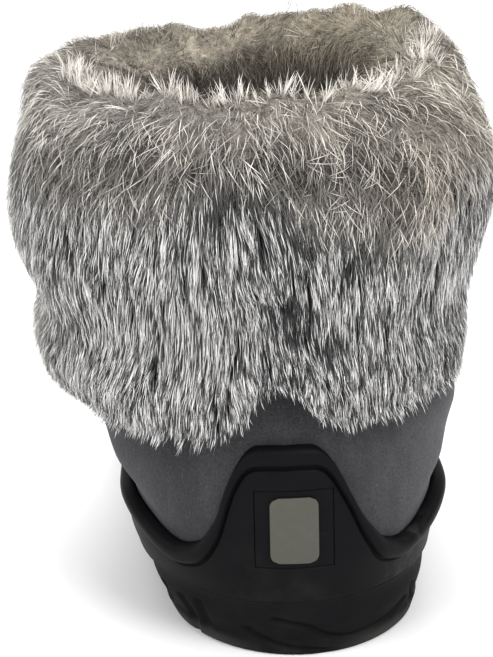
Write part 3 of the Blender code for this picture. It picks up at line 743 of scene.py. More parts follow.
class BOOT_OT_outsole(bpy.types.Operator):
    """Builds the outsole with its flange, sweeps and tread"""

    bl_idname = "boot.outsole"
    bl_label = "Outsole"

    def execute(self, context):
        last = boot_last()
        s = last.s
        angle = columns_around(420)
        flush = s.gap + s.shell_wall
        rings = []
        for level in np.concatenate([[-1.0, -0.985], np.linspace(-0.96, -0.06, 46), [0.0]]):
            levels = np.full(angle.shape, level)
            flange = 1 - ease(level, -0.80, -0.68)
            corner = 0.65 * (1 - ease(level, -1.0, -0.95))
            out = flush + s.flange_rise * (flange - corner)
            ring = last.off(angle, levels, out - sweep_depth(last, angle, levels))
            rings.append(ring)
        rings[-1][:, 2] -= 0.00005
        sole = slab("outsole_rubber", rings, sole_rubber())
        cut_away(sole, self.grooves(last, sole.data.materials[0]))
        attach(sole, "root")
        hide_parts("outsole")
        return {"FINISHED"}

    def grooves(self, last, rubber):
        """The gaps between the tread's lugs, as one body of separate bars that bend forward in the middle."""
        points, faces = [], []
        edge = last.skin(np.linspace(0, 2 * math.pi, 721), -1)
        left, right = edge[:361], edge[360:][::-1]
        steps, rim, depth, width, bend = 8, 0.005, 0.0045, 0.0055, 0.009
        for first, final, count in ((0.070, 0.215, 3), (0.500, 0.880, 6)):
            for k in range(count):
                y = last.s.heel_reach - (first + (final - first) * k / (count - 1)) * last.s.foot_length
                high = np.interp(-y, -left[:, 1], left[:, 0]) - rim
                low = np.interp(-y, -right[:, 1], right[:, 0]) + rim
                base = len(points)
                for j in range(steps + 1):
                    u = j / steps
                    for side in (-width / 2, width / 2):
                        at = y - bend * (0.5 - abs(2 * u - 1)) + side
                        roof = float(last.tread(at)) + depth
                        points.append((low + (high - low) * u, at, roof - 3 * depth))
                        points.append((low + (high - low) * u, at, roof))
                for j in range(steps):
                    a = base + 4 * j
                    b = a + 4
                    faces += [(a, a + 1, b + 1, b), (a + 2, b + 2, b + 3, a + 3)]
                    faces += [(a, b, b + 2, a + 2), (a + 1, a + 3, b + 3, b + 1)]
                faces.append((base, base + 2, base + 3, base + 1))
                end = base + 4 * steps
                faces.append((end, end + 1, end + 3, end + 2))
        return face_outwards(new_piece("grooves", points, faces, rubber, False))


# The face of the shell's raised band and of the groove under it, from below: how far down the top line a
# point is, in shares of the band's width and of the groove's, and how far it stands out of the shell's face
# in metres
BAND_FACE = [
    # band, groove, out
    (1.00, 1.00, 0.0),
    (1.00, 0.80, -0.0003),
    (1.00, 0.55, -0.0009),
    (1.00, 0.30, -0.0010),
    (1.00, 0.10, -0.0004),
    (1.00, 0.00, 0.0004),
    (0.95, 0.00, 0.0010),
    (0.88, 0.00, 0.0015),
    (0.78, 0.00, 0.00185),
    (0.64, 0.00, 0.0020),
    (0.48, 0.00, 0.0021),
    (0.32, 0.00, 0.0020),
    (0.19, 0.00, 0.0017),
    (0.09, 0.00, 0.0011),
    (0.03, 0.00, 0.0004),
    (0.00, 0.00, -0.0004),
    (0.00, 0.00, -0.0014),
]


class BOOT_OT_shell(bpy.types.Operator):
    """Builds the rubber shell with its raised band and the badge's pocket"""

    bl_idname = "boot.shell"
    bl_label = "Rubber shell"

    def execute(self, context):
        last = boot_last()
        s = last.s
        angle = columns_around(380)
        top = last.top_line(angle)
        small = 0.02
        reach = np.linalg.norm(last.skin(angle, top) - last.skin(angle, top - small), axis=-1)
        per_metre = small / reach
        face = s.gap + s.shell_wall
        full = np.ones(angle.shape)
        groove, band = 0.0017, s.band_width
        under = top - (band + groove) * per_metre
        rings = [last.off(angle, under * k / 30, face * full) for k in range(30)]
        flatter = 0.45 * ease(1 - np.cos(angle), 0.3, 0.9)
        for share_of_band, share_of_groove, out in BAND_FACE:
            drop = band * share_of_band + groove * share_of_groove
            rings.append(last.off(angle, top - drop * per_metre, face + out * (1 - flatter * (out > 0))))
        for k in range(12, -1, -1):
            rings.append(last.off(angle, top * k / 12, s.gap * full))
        shell = loft("shell_rubber", rings, shell_rubber())
        half = s.badge_size / 2 + BADGE_CLEARANCE
        rubber = shell.data.materials[0]
        low, high = face - POCKET_DEPTH, face + POCKET_CLEARANCE
        cut_away(shell, heel_block(last, "pocket", half, half, low, high, rubber))
        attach(shell, "root")
        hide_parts("rubber_shell")
        return {"FINISHED"}


# The badge in its pocket: the gap round it, the pocket's depth and how far its cutter stands out of the
# shell, the badge's underside and face below the shell's face, and its foot's height over the feather edge
BADGE_CLEARANCE = 0.00012
POCKET_DEPTH = 0.0016
POCKET_CLEARANCE = 0.01
BADGE_UNDERSIDE = 0.0012
BADGE_FACE = 0.00015
BADGE_RISE = 0.0128
# The reflector: half its width and height, the round of its corners, and its underside and face over the
# shell's
REFLECTOR_HALVES = (0.0075, 0.01025)
REFLECTOR_ROUND = 0.0028
REFLECTOR_LEVELS = (0.0001, 0.0009)


def heel_block(last, name, half_width, half_height, low, high, material, round_corner=0.0, steps=12):
    """A block on the heel's plateau that follows the shell's curve between two distances out of the skin."""
    middle = BADGE_RISE + last.s.badge_size / 2
    turns = np.radians(np.linspace(-30, 30, 241))
    points, faces = [], []
    for out in (low, high):
        for j in range(steps + 1):
            rise = -half_height + 2 * half_height * j / steps
            over = max(0.0, abs(rise) - (half_height - round_corner))
            narrow = round_corner - math.sqrt(max(0.0, round_corner ** 2 - over ** 2))
            level = (middle + rise) / last.s.instep_height
            xs = last.off(turns, np.full(turns.shape, level), np.full(turns.shape, out))[:, 0]
            for i in range(steps + 1):
                turn = np.interp((half_width - narrow) * (2 * i / steps - 1), xs, turns)
                points.append(last.off(turn, level, out))
    row, sheet = steps + 1, (steps + 1) ** 2
    for j in range(steps):
        for i in range(steps):
            a = j * row + i
            faces.append((a, a + 1, a + row + 1, a + row))
            faces.append((a + sheet, a + sheet + row, a + sheet + row + 1, a + sheet + 1))
    for k in range(steps):
        low, high = (k, k + 1), (steps * row + k, steps * row + k + 1)
        left, right = (k * row, (k + 1) * row), (k * row + steps, (k + 1) * row + steps)
        for a, b in (low, high, left, right):
            faces.append((a, b, b + sheet, a + sheet))
    return face_outwards(new_piece(name, points, faces, material, False))


class BOOT_OT_badge(bpy.types.Operator):
    """Builds the square heel badge and its reflector"""

    bl_idname = "boot.badge"
    bl_label = "Heel badge"

    def execute(self, context):
        last = boot_last()
        s = last.s
        face = s.gap + s.shell_wall
        half = s.badge_size / 2
        low, high = face - BADGE_UNDERSIDE, face - BADGE_FACE
        badge = heel_block(last, "badge_plate", half, half, low, high, shell_rubber())
        low, high = (face + level for level in REFLECTOR_LEVELS)
        film = reflector_film()
        patch = heel_block(last, "reflector_patch", *REFLECTOR_HALVES, low, high, film, REFLECTOR_ROUND, 24)
        for piece, node in ((badge, "heel_badge"), (patch, "reflector")):
            soft = piece.modifiers.new("soft edge", "BEVEL")
            soft.width = 0.00025
            soft.segments = 2
            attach(piece, "root")
            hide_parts(node)
        return {"FINISHED"}


# Each row is one soft crease of the upper: where its middle is by angle and level, how long and wide it is
# in metres, which way it runs in degrees from level, and how deep it is. A ridge has a depth below 0.
CREASES = [
    # angle, level, length, width, slant, depth
    (22, 0.50, 0.030, 0.010, 65, 0.0010),
    (40, 0.47, 0.045, 0.012, 25, 0.0014),
    (58, 0.38, 0.050, 0.012, 12, 0.0012),
    (-24, 0.48, 0.030, 0.010, -62, 0.0010),
    (-38, 0.44, 0.045, 0.012, -24, 0.0014),
    (-60, 0.36, 0.050, 0.012, -10, 0.0012),
    (50, 0.55, 0.050, 0.014, 10, -0.0010),
    (-50, 0.54, 0.050, 0.014, -10, -0.0010),
    (180, 0.62, 0.060, 0.012, 0, 0.0014),
    (180, 0.53, 0.066, 0.012, 4, 0.0012),
    (180, 0.74, 0.055, 0.013, -4, 0.0015),
    (150, 0.52, 0.040, 0.010, 25, 0.0010),
    (-150, 0.50, 0.040, 0.010, -25, 0.0010),
    (125, 0.50, 0.045, 0.012, 30, 0.0010),
    (-125, 0.52, 0.045, 0.012, -30, 0.0010),
]


def crease_depth(last, angle, level):
    """How far the upper's face sinks or stands out at a place."""
    here = last.skin(angle, level)
    depth = np.zeros(here.shape[:-1])
    for turn, height, length, width, slant, deep in CREASES:
        middle = last.skin(math.radians(turn), height)
        way = last.normal(math.radians(turn), height)
        aside = np.cross([0, 0, 1.0], way)
        aside /= np.linalg.norm(aside)
        rise = np.cross(way, aside)
        tilt = math.radians(slant)
        gap = here - middle
        run = gap @ (aside * math.cos(tilt) + rise * math.sin(tilt))
        off = gap @ (rise * math.cos(tilt) - aside * math.sin(tilt))
        near = np.exp(-(np.abs(gap @ way) / 0.03) ** 2)
        depth += deep * np.exp(-(run / (length / 2)) ** 2 - (off / (width / 2)) ** 2) * near
    return depth


class BOOT_OT_upper(bpy.types.Operator):
    """Builds the suede upper with its creases"""

    bl_idname = "boot.upper"
    bl_label = "Suede upper"

    def execute(self, context):
        last = boot_last()
        s = last.s
        angle = columns_around(320, 0.3)
        full = np.ones(angle.shape)
        top, hem = last.top_line(angle), last.hem(angle)
        rows = [top * k / 6 for k in range(6)]
        rows += [top + (hem - top) * k / 40 for k in range(40)]
        rows += [hem + (2 - hem) * k / 16 for k in range(17)]
        outer, inner = [], []
        for row in rows:
            sink = crease_depth(last, angle, row) * ease((row - top) * s.instep_height, 0.001, 0.010)
            over, under = (row - top) * s.instep_height, (hem - row) * s.instep_height
            puff = s.suede_puff * ease(over, 0.001, 0.009) * ease(under, 0.002, 0.014)
            puff = puff * ease(np.abs(np.sin(angle)), 0.35, 0.85)
            outer.append(last.off(angle, row, puff - sink))
            inner.append(last.off(angle, row, -s.upper_wall * full - np.clip(sink, 0, None)))
        upper = loft("upper_suede", outer + inner[::-1], suede())
        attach(upper, "root")
        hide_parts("upper")
        return {"FINISHED"}


# The footbed's rounded edge, from below: height over the feather edge, and how far it lies further in
BED_EDGE = [(0.0002, 0.0), (0.0022, 0.0), (0.0034, 0.0004), (0.0041, 0.0012), (0.0044, 0.0026)]


class BOOT_OT_footbed(bpy.types.Operator):
    """Builds the fleece footbed"""

    bl_idname = "boot.footbed"
    bl_label = "Footbed"

    def execute(self, context):
        last = boot_last()
        s = last.s
        angle = columns_around(160, 0.2)
        inside = -s.upper_wall - 3 * s.gap
        rings = []
        full = np.ones(angle.shape)
        for height, back in BED_EDGE:
            ring = last.off(angle, height / s.instep_height * full, (inside - back) * full)
            ring[:, 2] = last.feather(ring[:, 1]) + height
            rings.append(ring)
        bed = slab("footbed_fleece", rings, fleece())
        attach(bed, "root")
        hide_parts("insole")
        return {"FINISHED"}


# Each row is one patch of the coat: its middle by degrees from the back and by its distance below the crest,
# its half width and half height in metres, and how dark it is. A pale patch has a depth below 0.
PATCHES = [
    # angle, drop, wide, high, depth
    (28, 0.015, 0.011, 0.006, 0.70),
    (57, 0.026, 0.012, 0.006, 0.70),
    (11, 0.0245, 0.018, 0.008, 0.95),
    (37, 0.020, 0.014, 0.005, 0.50),
    (-8, 0.0205, 0.016, 0.007, 0.85),
    (-9, 0.036, 0.008, 0.006, 0.70),
    (-25, 0.023, 0.010, 0.007, 0.60),
    (-24, 0.043, 0.008, 0.009, 0.60),
    (-33, 0.029, 0.007, 0.012, 0.60),
    (-42, 0.008, 0.014, 0.006, 0.75),
    (-9, 0.070, 0.010, 0.010, 0.70),
    (-7, 0.095, 0.008, 0.006, 0.50),
    (-40, 0.085, 0.050, 0.035, 0.22),
    (110, 0.024, 0.020, 0.012, 0.50),
    (150, 0.018, 0.018, 0.010, 0.50),
    (-115, 0.020, 0.020, 0.010, 0.50),
    (-160, 0.030, 0.014, 0.012, 0.50),
    (-58, 0.000, 0.026, 0.009, -0.60),
    (5, 0.006, 0.030, 0.006, 0.16),
    (60, 0.006, 0.022, 0.008, -0.25),
    (-35, 0.014, 0.010, 0.005, -0.30),
    (40, 0.058, 0.030, 0.018, -0.16),
]


# The waves that make the coat's face uneven, broad ones all over and small ones near the crest, each with
# its waves round the collar, its slope down the face and its start, then their depth, and how far the face
# lies back
SWELL = [(7, 9, 0), (12, -16, 1), (4, 21, 0)]
TUFTS = [(19, 7, 2), (31, -23, 0), (13, 30, 4)]
WAVE_DEPTH = 0.00055
LAID_BACK = 0.0006

# Each row is one corner of the roll where the fur stands fuller: its middle and half width by angle, its
# middle below the crest and half height in metres, and its share of the corner tuft
CORNERS = [
    # angle, wide, drop, high, share
    (2.45, 0.50, 0.000, 0.014, 1.05),
    (1.80, 0.40, 0.007, 0.012, 0.70),
    (3.75, 0.60, 0.000, 0.016, 0.42),
]

# The coat's mottling by chance: how many spots round the collar and down the face, and how much they darken
# it
MOTTLING = [(34, 15, 0.21), (116, 44, 0.32)]


class Pelt:
    """The fur's face as a grid of places, by turn round the collar and by way from inside it to the hem."""

    def __init__(self, last, turns=300, ways=180):
        s, f = last.s, last.f
        turn = np.arange(turns) * 2 * math.pi / turns
        full = np.ones(turns)
        rim, way = last.skin(turn, 2 * full), last.way_out(turn, 2 * full)
        inner, crest = s.upper_wall + f.inside, last.crest(turn)
        lines = []
        for drop, share in ((1.0, 0.55), (0.55, 0.86), (0.10, 1.0)):
            level = 2 - drop * f.leg / (s.collar_height - s.instep_height)
            lines.append(last.skin(turn, level * full) - way * inner * share)
        for out, up in ((-inner * 0.76, 0.62), (-0.02 * f.pile, 1.0), (0.46 * f.pile, 0.95)):
            line = rim + way * out
            line[:, 2] += up * crest
            lines.append(line)
        outside = len(lines) - 1
        for place in (1.06, 0.85, 0.52, 0.32, 0.20, 0.06, 0.0, -0.05):
            run = turn
            for _ in range(3 if place < 1 else 0):
                hem = last.hem(run)
                run = last.plumb(turn, 2 * full, hem + (2 - hem) * place, 10)
            hem = last.hem(run)
            level = hem + (2 - hem) * min(place, 1.0)
            deep = last.pile(run, max(place, 0.0) * full)
            line = last.skin(run, level) + last.way_out(run, level) * deep[:, None]
            line[:, 2] += max(place - 1, 0) * (s.collar_height + s.heel_height - f.hem_height)
            lines.append(line)
        lines = np.array(lines)
        reach = np.concatenate([[0], np.cumsum(np.linalg.norm(np.diff(lines, axis=0), axis=-1).mean(1))])
        self.length = reach[-1]
        self.crest, self.hem = reach[outside] / self.length, reach[-2] / self.length
        self.grid = smooth(reach, lines, np.linspace(0, self.length, ways)).transpose(1, 0, 2)
        self.normals = self.ways_out()
        wave_turn, wave_way = np.meshgrid(turn, np.linspace(0, 1, ways), indexing="ij")
        from_crest = (wave_way - self.crest) * self.length
        swell, tufts = (
            sum(np.sin(a * wave_turn + b * wave_way + c) for a, b, c in waves) for waves in (SWELL, TUFTS)
        )
        corner = 0
        for turned, wide, low, high, much in CORNERS:
            corner += much * np.exp(-((wave_turn - turned) / wide) ** 2 - ((from_crest - low) / high) ** 2)
        tufts = tufts * np.exp(-((from_crest + 0.004) / 0.022) ** 2)
        bulge = (swell + tufts) * WAVE_DEPTH + corner * f.corner_tuft - LAID_BACK
        self.grid = self.grid + self.normals * bulge[..., None]
        self.normals = self.ways_out()
        self.girth = np.linalg.norm(np.roll(self.grid, -1, 0) - self.grid, axis=-1).mean() * turns
        chance = np.random.default_rng(f.seed + 50)
        self.mottle = [(chance.normal(0, 1, (spots, rows, 1)), much) for spots, rows, much in MOTTLING]
        climb = (np.roll(self.grid, -1, 0) - np.roll(self.grid, 1, 0))[..., 2] * turns / 2
        fall = np.minimum(np.gradient(self.grid[..., 2], axis=1) * (ways - 1), -0.08)
        self.slant = (-climb / fall * ease(from_crest, 0.010, 0.030))[..., None]

    def ways_out(self):
        round_it = np.roll(self.grid, -1, 0) - np.roll(self.grid, 1, 0)
        n = np.cross(round_it, np.gradient(self.grid, axis=1))
        n /= np.linalg.norm(n, axis=-1, keepdims=True)
        return -n if n[0, n.shape[1] * 3 // 4, 1] < 0 else n

    def read(self, table, turn, way):
        """Reads a table at turns from 0 to 1 round the collar and ways from 0 to 1 down the face."""
        turns, ways = table.shape[:2]
        a, b = (turn % 1) * turns, np.clip(way, 0, 1) * (ways - 1)
        i, j = np.floor(a).astype(int), np.minimum(np.floor(b).astype(int), ways - 2)
        p, q = (a - i)[..., None], (b - j)[..., None]
        i, k = i % turns, (i + 1) % turns
        near = table[i, j] * (1 - q) + table[i, j + 1] * q
        far = table[k, j] * (1 - q) + table[k, j + 1] * q
        return near * (1 - p) + far * p

    def at(self, turn, way, high):
        return self.read(self.grid, turn, way) + self.read(self.normals, turn, way) * high[..., None]

    def coat(self, turn, way):
        """How soft and how warm the coat is at a place, from 0 to 1, and how much darker than around it: its
        own dark patches and mottling, and painted shade deep inside the collar.
        """
        angle = turn * 2 * math.pi
        drop = (way - self.crest) * self.length
        ragged = 0.004 * np.sin(5 * angle + 1) + 0.003 * np.sin(11 * angle)
        side = (angle + math.pi) % (2 * math.pi) - math.pi
        lower = 0.013 * np.exp(-((side + 0.75) / 0.60) ** 2)
        soft = 1 - ease(drop + ragged - lower, 0.016, 0.034)
        soft = np.maximum(soft, 0.70 * np.exp(-((angle - 1.70) / 0.45) ** 2) * ease(drop, 0, 0.01))
        within = 1 - ease(drop, -0.026, -0.010)
        dark_and_shade = np.zeros(np.shape(turn))
        for turned, low, wide, high, deep in PATCHES:
            gap = (side - math.radians(turned) + math.pi) % (2 * math.pi) - math.pi
            dark_and_shade += deep * np.exp(-(gap * self.girth / (2 * math.pi) / wide) ** 2 - ((drop - low) / high) ** 2)
        far = ease(np.abs(side), 1.6, 2.3) * (1 - ease(drop, 0.004, 0.016))
        warm = 0.10 + (0.52 - 0.13 * np.sin(side)) * soft + 0.30 * np.maximum(within, far)
        # painted shade deep inside the collar; the far side by the crest is made a little darker too
        dark_and_shade += 0.82 * (1 - ease(drop, -0.036, -0.012)) + 0.06 * far
        for table, much in self.mottle:
            dark_and_shade += self.read(table, turn, way)[..., 0] * much
        return soft, np.clip(warm, 0, 1), np.clip(dark_and_shade, -0.6, 1)


def strips(name, path, wide, tilt, material, marks):
    """One mesh of tapering strips along the paths, with a mark for each corner under each name."""
    count, steps = path.shape[:2]
    along = np.gradient(path, axis=1)
    along /= np.linalg.norm(along, axis=-1, keepdims=True)
    aside = np.cross(along, tilt[:, None, :])
    aside /= np.linalg.norm(aside, axis=-1, keepdims=True)
    taper = np.interp(np.linspace(0, 1, steps), (0.0, 0.33, 0.67, 1.0), (0.75, 1.0, 0.7, 0.0))[None, :, None]
    left = path + aside * wide[:, None, None] * taper / 2
    right = path - aside * wide[:, None, None] * taper / 2
    points = np.concatenate([left[:, :-1], right[:, :-1], path[:, -1:]], axis=1)
    per = 2 * (steps - 1) + 1
    base = (np.arange(count) * per)[:, None]
    half = steps - 1
    faces = []
    for k in range(half - 1):
        quad = [k, k + 1, half + k + 1, half + k]
        faces += [base + np.array([quad[0], quad[1], quad[2]]), base + np.array([quad[0], quad[2], quad[3]])]
    faces.append(base + np.array([half - 1, per - 1, 2 * half - 1]))
    faces = np.concatenate(faces)
    spread = {}
    for key, values in marks.items():
        spread[key] = np.concatenate([values[:, :-1], values[:, :-1], values[:, -1:]], axis=1)
    return marked(new_piece(name, points, faces, material, False), **spread)


def strand_marks(t, root, tip, warm):
    """The marks of hairs with a step for each t, from one value of each kind for a hair."""
    ones = np.ones((len(root), t.shape[1]))
    marks = {"along": ones * t}
    for key, values in (("root", root), ("tip", tip), ("warm", warm)):
        marks[key] = ones * values[:, None]
    return marks


def finish_fur(piece):
    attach(piece, "root")
    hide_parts("fur_cuff")


def marked(piece, **marks):
    """Gives a piece a value for each corner under each name."""
    for key, values in marks.items():
        mark = piece.data.attributes.new(key, "FLOAT", "POINT")
        mark.data.foreach_set("value", np.asarray(values, np.float32).ravel())
    return piece


class BOOT_OT_wool(bpy.types.Operator):
    """Builds the cuff's dense undercoat, a closed ring that lies a little inside the fur's face"""

    bl_idname = "boot.wool"
    bl_label = "Undercoat"

    def execute(self, context):
        last = boot_last()
        s, f = last.s, last.f
        pelt = Pelt(last)
        count, gap = 240, 0.0006
        turns = np.arange(count) / count
        angle, full = turns * 2 * math.pi, np.ones(count)
        hem = last.hem(angle)
        leg = 2 - f.leg / (s.collar_height - s.instep_height)
        lining = -(s.upper_wall + gap) * full
        rings = [last.off(angle, (leg + (2 - leg) * k / 6) * full, lining) for k in range(6, -1, -1)]
        marks = [np.zeros((2, count))] * len(rings)
        for way in np.linspace(0, pelt.hem, 80):
            deep = 0.0009 + 0.0021 * ease((way - pelt.crest) * pelt.length, 0.016, 0.042)
            rings.append(pelt.at(turns, way * full, -deep * full))
            soft, warm, dark_and_shade = pelt.coat(turns, way * full)
            # Deep inside the collar the wool is painted darker as painted shade
            marks.append(np.stack([(0.03 + 0.30 * soft) * (1 - 0.70 * dark_and_shade), warm]))
        for k in range(17):
            rings.append(last.off(angle, hem + (2 - hem) * k / 16, gap * full))
        for out in (gap, -s.upper_wall - gap):
            ring = last.off(angle, 2 * full, out * full)
            ring[:, 2] += gap
            rings.append(ring)
        marks += [np.zeros((2, count))] * (len(rings) - len(marks))
        marks = np.stack(marks, 1)
        finish_fur(marked(loft("fur_wool", rings, undercoat()), tip=marks[0], warm=marks[1]))
        return {"FINISHED"}


# How the hanging hairs gather. PULL is the share of the way that a tip goes sideways to its clump's middle,
# with how much less it is where the coat is soft, and PULL_DOWN its share downwards. The rest are metres:
# the reach of a clump's middle, how far tips go past the hem, how far out they stand and how deep the roots
# lie.
PULL = 0.38
PULL_WHERE_SOFT = 0.18
PULL_DOWN = 0.24
CLUMP_REACH = 0.0019
PAST_HEM = 0.0070
STAND = (0.0001, 0.0018)
ROOT_DEPTH = 0.0038
# Ways count for less than turns where a hair looks for its clump, so that clumps are long and narrow
CLUMP_SHAPE = 0.32


class BOOT_OT_hairs(bpy.types.Operator):
    """Builds the cuff's hanging hairs, which gather in pointed clumps"""

    bl_idname = "boot.hairs"
    bl_label = "Hanging hairs"

    def execute(self, context):
        last = boot_last()
        f, pelt, material = last.f, Pelt(last), hair()
        chance = np.random.default_rng(f.seed)
        top = pelt.crest - 0.006 / pelt.length
        clumps = {
            "turn": chance.random(f.clump_count),
            "way": top + (pelt.hem - top) * chance.random(f.clump_count),
            "lean": chance.normal(0, 0.0009, f.clump_count),
            "vigour": chance.uniform(0.2, 1.0, f.clump_count),
        }
        tree = KDTree(3 * f.clump_count)
        for shift in (-1, 0, 1):
            for k, (a, b) in enumerate(zip(clumps["turn"], clumps["way"])):
                tree.insert(((a + shift) * pelt.girth, b * pelt.length * CLUMP_SHAPE, 0), k)
        tree.balance()
        for index in range(3):
            piece = self.hang(f, pelt, clumps, tree, index, material)
            finish_fur(piece)
        return {"FINISHED"}

    def hang(self, f, pelt, clumps, tree, index, material):
        """One piece of the hanging hairs. Where the coat is soft, most are left out."""
        chance = np.random.default_rng(f.seed + 1 + index)
        top = pelt.crest - 0.006 / pelt.length
        turn = chance.random(2 * f.hair_count)
        way = top + (pelt.hem - top) * chance.random(2 * f.hair_count) ** 0.92
        soft = pelt.coat(turn, way)[0]
        kept = chance.random(len(turn)) > 0.86 * soft
        turn, way = turn[kept][:f.hair_count], way[kept][:f.hair_count]
        count = len(turn)
        soft, warm, dark_and_shade = pelt.coat(turn, way)
        found = [tree.find((a * pelt.girth, b * pelt.length * CLUMP_SHAPE, 0))[1:] for a, b in zip(turn, way)]
        clump = np.array([k for k, _ in found])
        centre = 1 - np.clip(np.array([gap for _, gap in found]) / CLUMP_REACH, 0, 1)
        long = f.hair_length * chance.uniform(0.5, 1.1, count)
        angle = turn * 2 * math.pi
        side = (angle + math.pi) % (2 * math.pi) - math.pi
        flow = 0.04 * np.sin(5 * angle + 10 * way) + 0.03 * np.sin(9 * angle - 16 * way + 2)
        flow += 0.16 * np.exp(-((side - 0.55) / 0.35) ** 2) - 0.16 * np.exp(-((side + 0.08) / 0.30) ** 2)
        lean = clumps["lean"][clump] + long * (flow + chance.normal(0, 0.05 + 0.30 * soft, count))
        gap_turn = (clumps["turn"][clump] - turn + 0.5) % 1 - 0.5
        aside = gap_turn * (PULL - PULL_WHERE_SOFT * soft) + lean / pelt.girth
        clump_tip = clumps["way"][clump] + f.hair_length * 0.8 / pelt.length
        down = long * 0.93 / pelt.length
        down = down + (clump_tip - way - down) * PULL_DOWN
        past_hem = PAST_HEM * chance.random(count) ** 2.2 * (0.4 + clumps["vigour"][clump])
        past_hem = past_hem * (1 - 0.8 * ease(np.sin(angle), 0.6, 0.95))
        room = pelt.hem + past_hem / pelt.length - way
        shorter = np.minimum(1, room / down)
        tip_turn = turn + aside * shorter
        tip_way = way + down * shorter + pelt.read(pelt.slant, turn, way)[:, 0] * aside * shorter
        stand = chance.uniform(*STAND, count) + 0.0010 * centre
        t = np.array([0.0, 0.38, 0.74, 1.0])[None, :]
        path_turn = turn[:, None] + (tip_turn - turn)[:, None] * t ** 1.2
        path_way = way[:, None] + (tip_way - way)[:, None] * t ** 1.1
        path_high = -ROOT_DEPTH + (stand + ROOT_DEPTH)[:, None] * (1 - (1 - t) ** 1.7)
        path = pelt.at(path_turn, path_way, path_high)
        tilt = pelt.read(pelt.normals, turn, way) + chance.normal(0, 0.3, (count, 3))
        wide = f.hair_width * chance.uniform(0.7, 1.25, count)
        # Hairs in a clump's middle are more often pale and those at its margin darker: partly the coat's own
        # tone, partly painted shade between the clumps
        bright = 0.26 + 0.50 * centre * clumps["vigour"][clump] + 0.12 * soft
        white = chance.random(count) < bright * (1 - 0.80 * dark_and_shade)
        pale, dark = chance.uniform(0.62, 1.0, count), chance.uniform(0.0, 0.16, count) + 0.26 * soft
        tip = np.where(white, pale * (1 - 0.15 * soft), dark * (1 - 0.5 * np.maximum(dark_and_shade, 0)))
        # The dark roots are partly the hair's own tone and partly painted shade deep in the coat
        root = chance.uniform(0.0, 0.03, count) + 0.27 * soft
        marks = strand_marks(t, root, tip, warm * 0.8)
        return strips(f"fur_hairs_{index + 1}", path, wide, tilt, material, marks)


# How deep the down's roots lie, and how far down from the crest it grows, in metres
DOWN_ROOT_DEPTH = 0.0018
DOWN_REACH = 0.040


class BOOT_OT_down(bpy.types.Operator):
    """Builds the soft down of the roll over the collar and of its inside"""

    bl_idname = "boot.down"
    bl_label = "Down"

    def execute(self, context):
        last = boot_last()
        f, pelt, material = last.f, Pelt(last), hair()
        for index in range(2):
            finish_fur(self.piece(f, pelt, index, material))
        return {"FINISHED"}

    def piece(self, f, pelt, index, material):
        chance = np.random.default_rng(f.seed + 20 + index)
        low = pelt.crest + DOWN_REACH / pelt.length
        turn = chance.random(2 * f.down_count)
        way = 0.01 + (low - 0.01) * chance.random(2 * f.down_count)
        kept = chance.random(len(turn)) < 0.15 + 0.85 * pelt.coat(turn, way)[0]
        turn, way = turn[kept][:f.down_count], way[kept][:f.down_count]
        count = len(turn)
        _, warm, dark_and_shade = pelt.coat(turn, way)
        angle = turn * 2 * math.pi
        drop = (way - pelt.crest) * pelt.length
        inward = 1 - 2 * ease(drop, -0.022, -0.008)
        swirl = 0.7 * np.sin(3 * angle + 14 * way) + 0.5 * np.sin(7 * angle - 9 * way)
        swirl = swirl + chance.normal(0, 0.65, count)
        long = f.down_length * chance.uniform(0.5, 1.1, count)
        tip_turn = turn + long * np.sin(swirl) / pelt.girth
        tip_way = np.clip(way - inward * long * np.cos(swirl) / pelt.length, 0, 1)
        stand = chance.uniform(0.0001, 0.0010, count)
        t = np.array([0.0, 0.55, 1.0])[None, :]
        path_turn = turn[:, None] + (tip_turn - turn)[:, None] * t
        path_way = way[:, None] + (tip_way - way)[:, None] * t
        path_high = -DOWN_ROOT_DEPTH + (stand + DOWN_ROOT_DEPTH)[:, None] * (1 - (1 - t) ** 1.6)
        path = pelt.at(path_turn, path_way, path_high)
        tilt = pelt.read(pelt.normals, turn, way) + chance.normal(0, 0.25, (count, 3))
        wide = f.hair_width * chance.uniform(0.45, 0.95, count)
        # Deep inside the collar the down is painted darker as painted shade
        tone = np.clip((0.226 + chance.normal(0, 0.13, count)) * (1 - 0.70 * dark_and_shade), 0.01, 1)
        marks = strand_marks(t, tone * 0.85, tone, warm)
        return strips(f"fur_down_{index + 1}", path, wide, tilt, material, marks)


# The middle line of each kind of loose hair, from its root at the origin, with the coat's face level
STRAY = ((0.0, 0.0, 0.0), (0.0027, 0.0, 0.0014), (0.0055, 0.0001, 0.0022), (0.0084, 0.0003, 0.0025))
UPRIGHT = ((0.0, 0.0, 0.0), (0.0006, 0.0, 0.0030), (0.0013, 0.0001, 0.0059), (0.0022, 0.0003, 0.0086))
# Each row is one hair of a bunch: how far it strays to the side for its reach, and its length as a share
BUNCH = ((0.0, 1.0), (0.36, 0.86), (-0.52, 0.72))


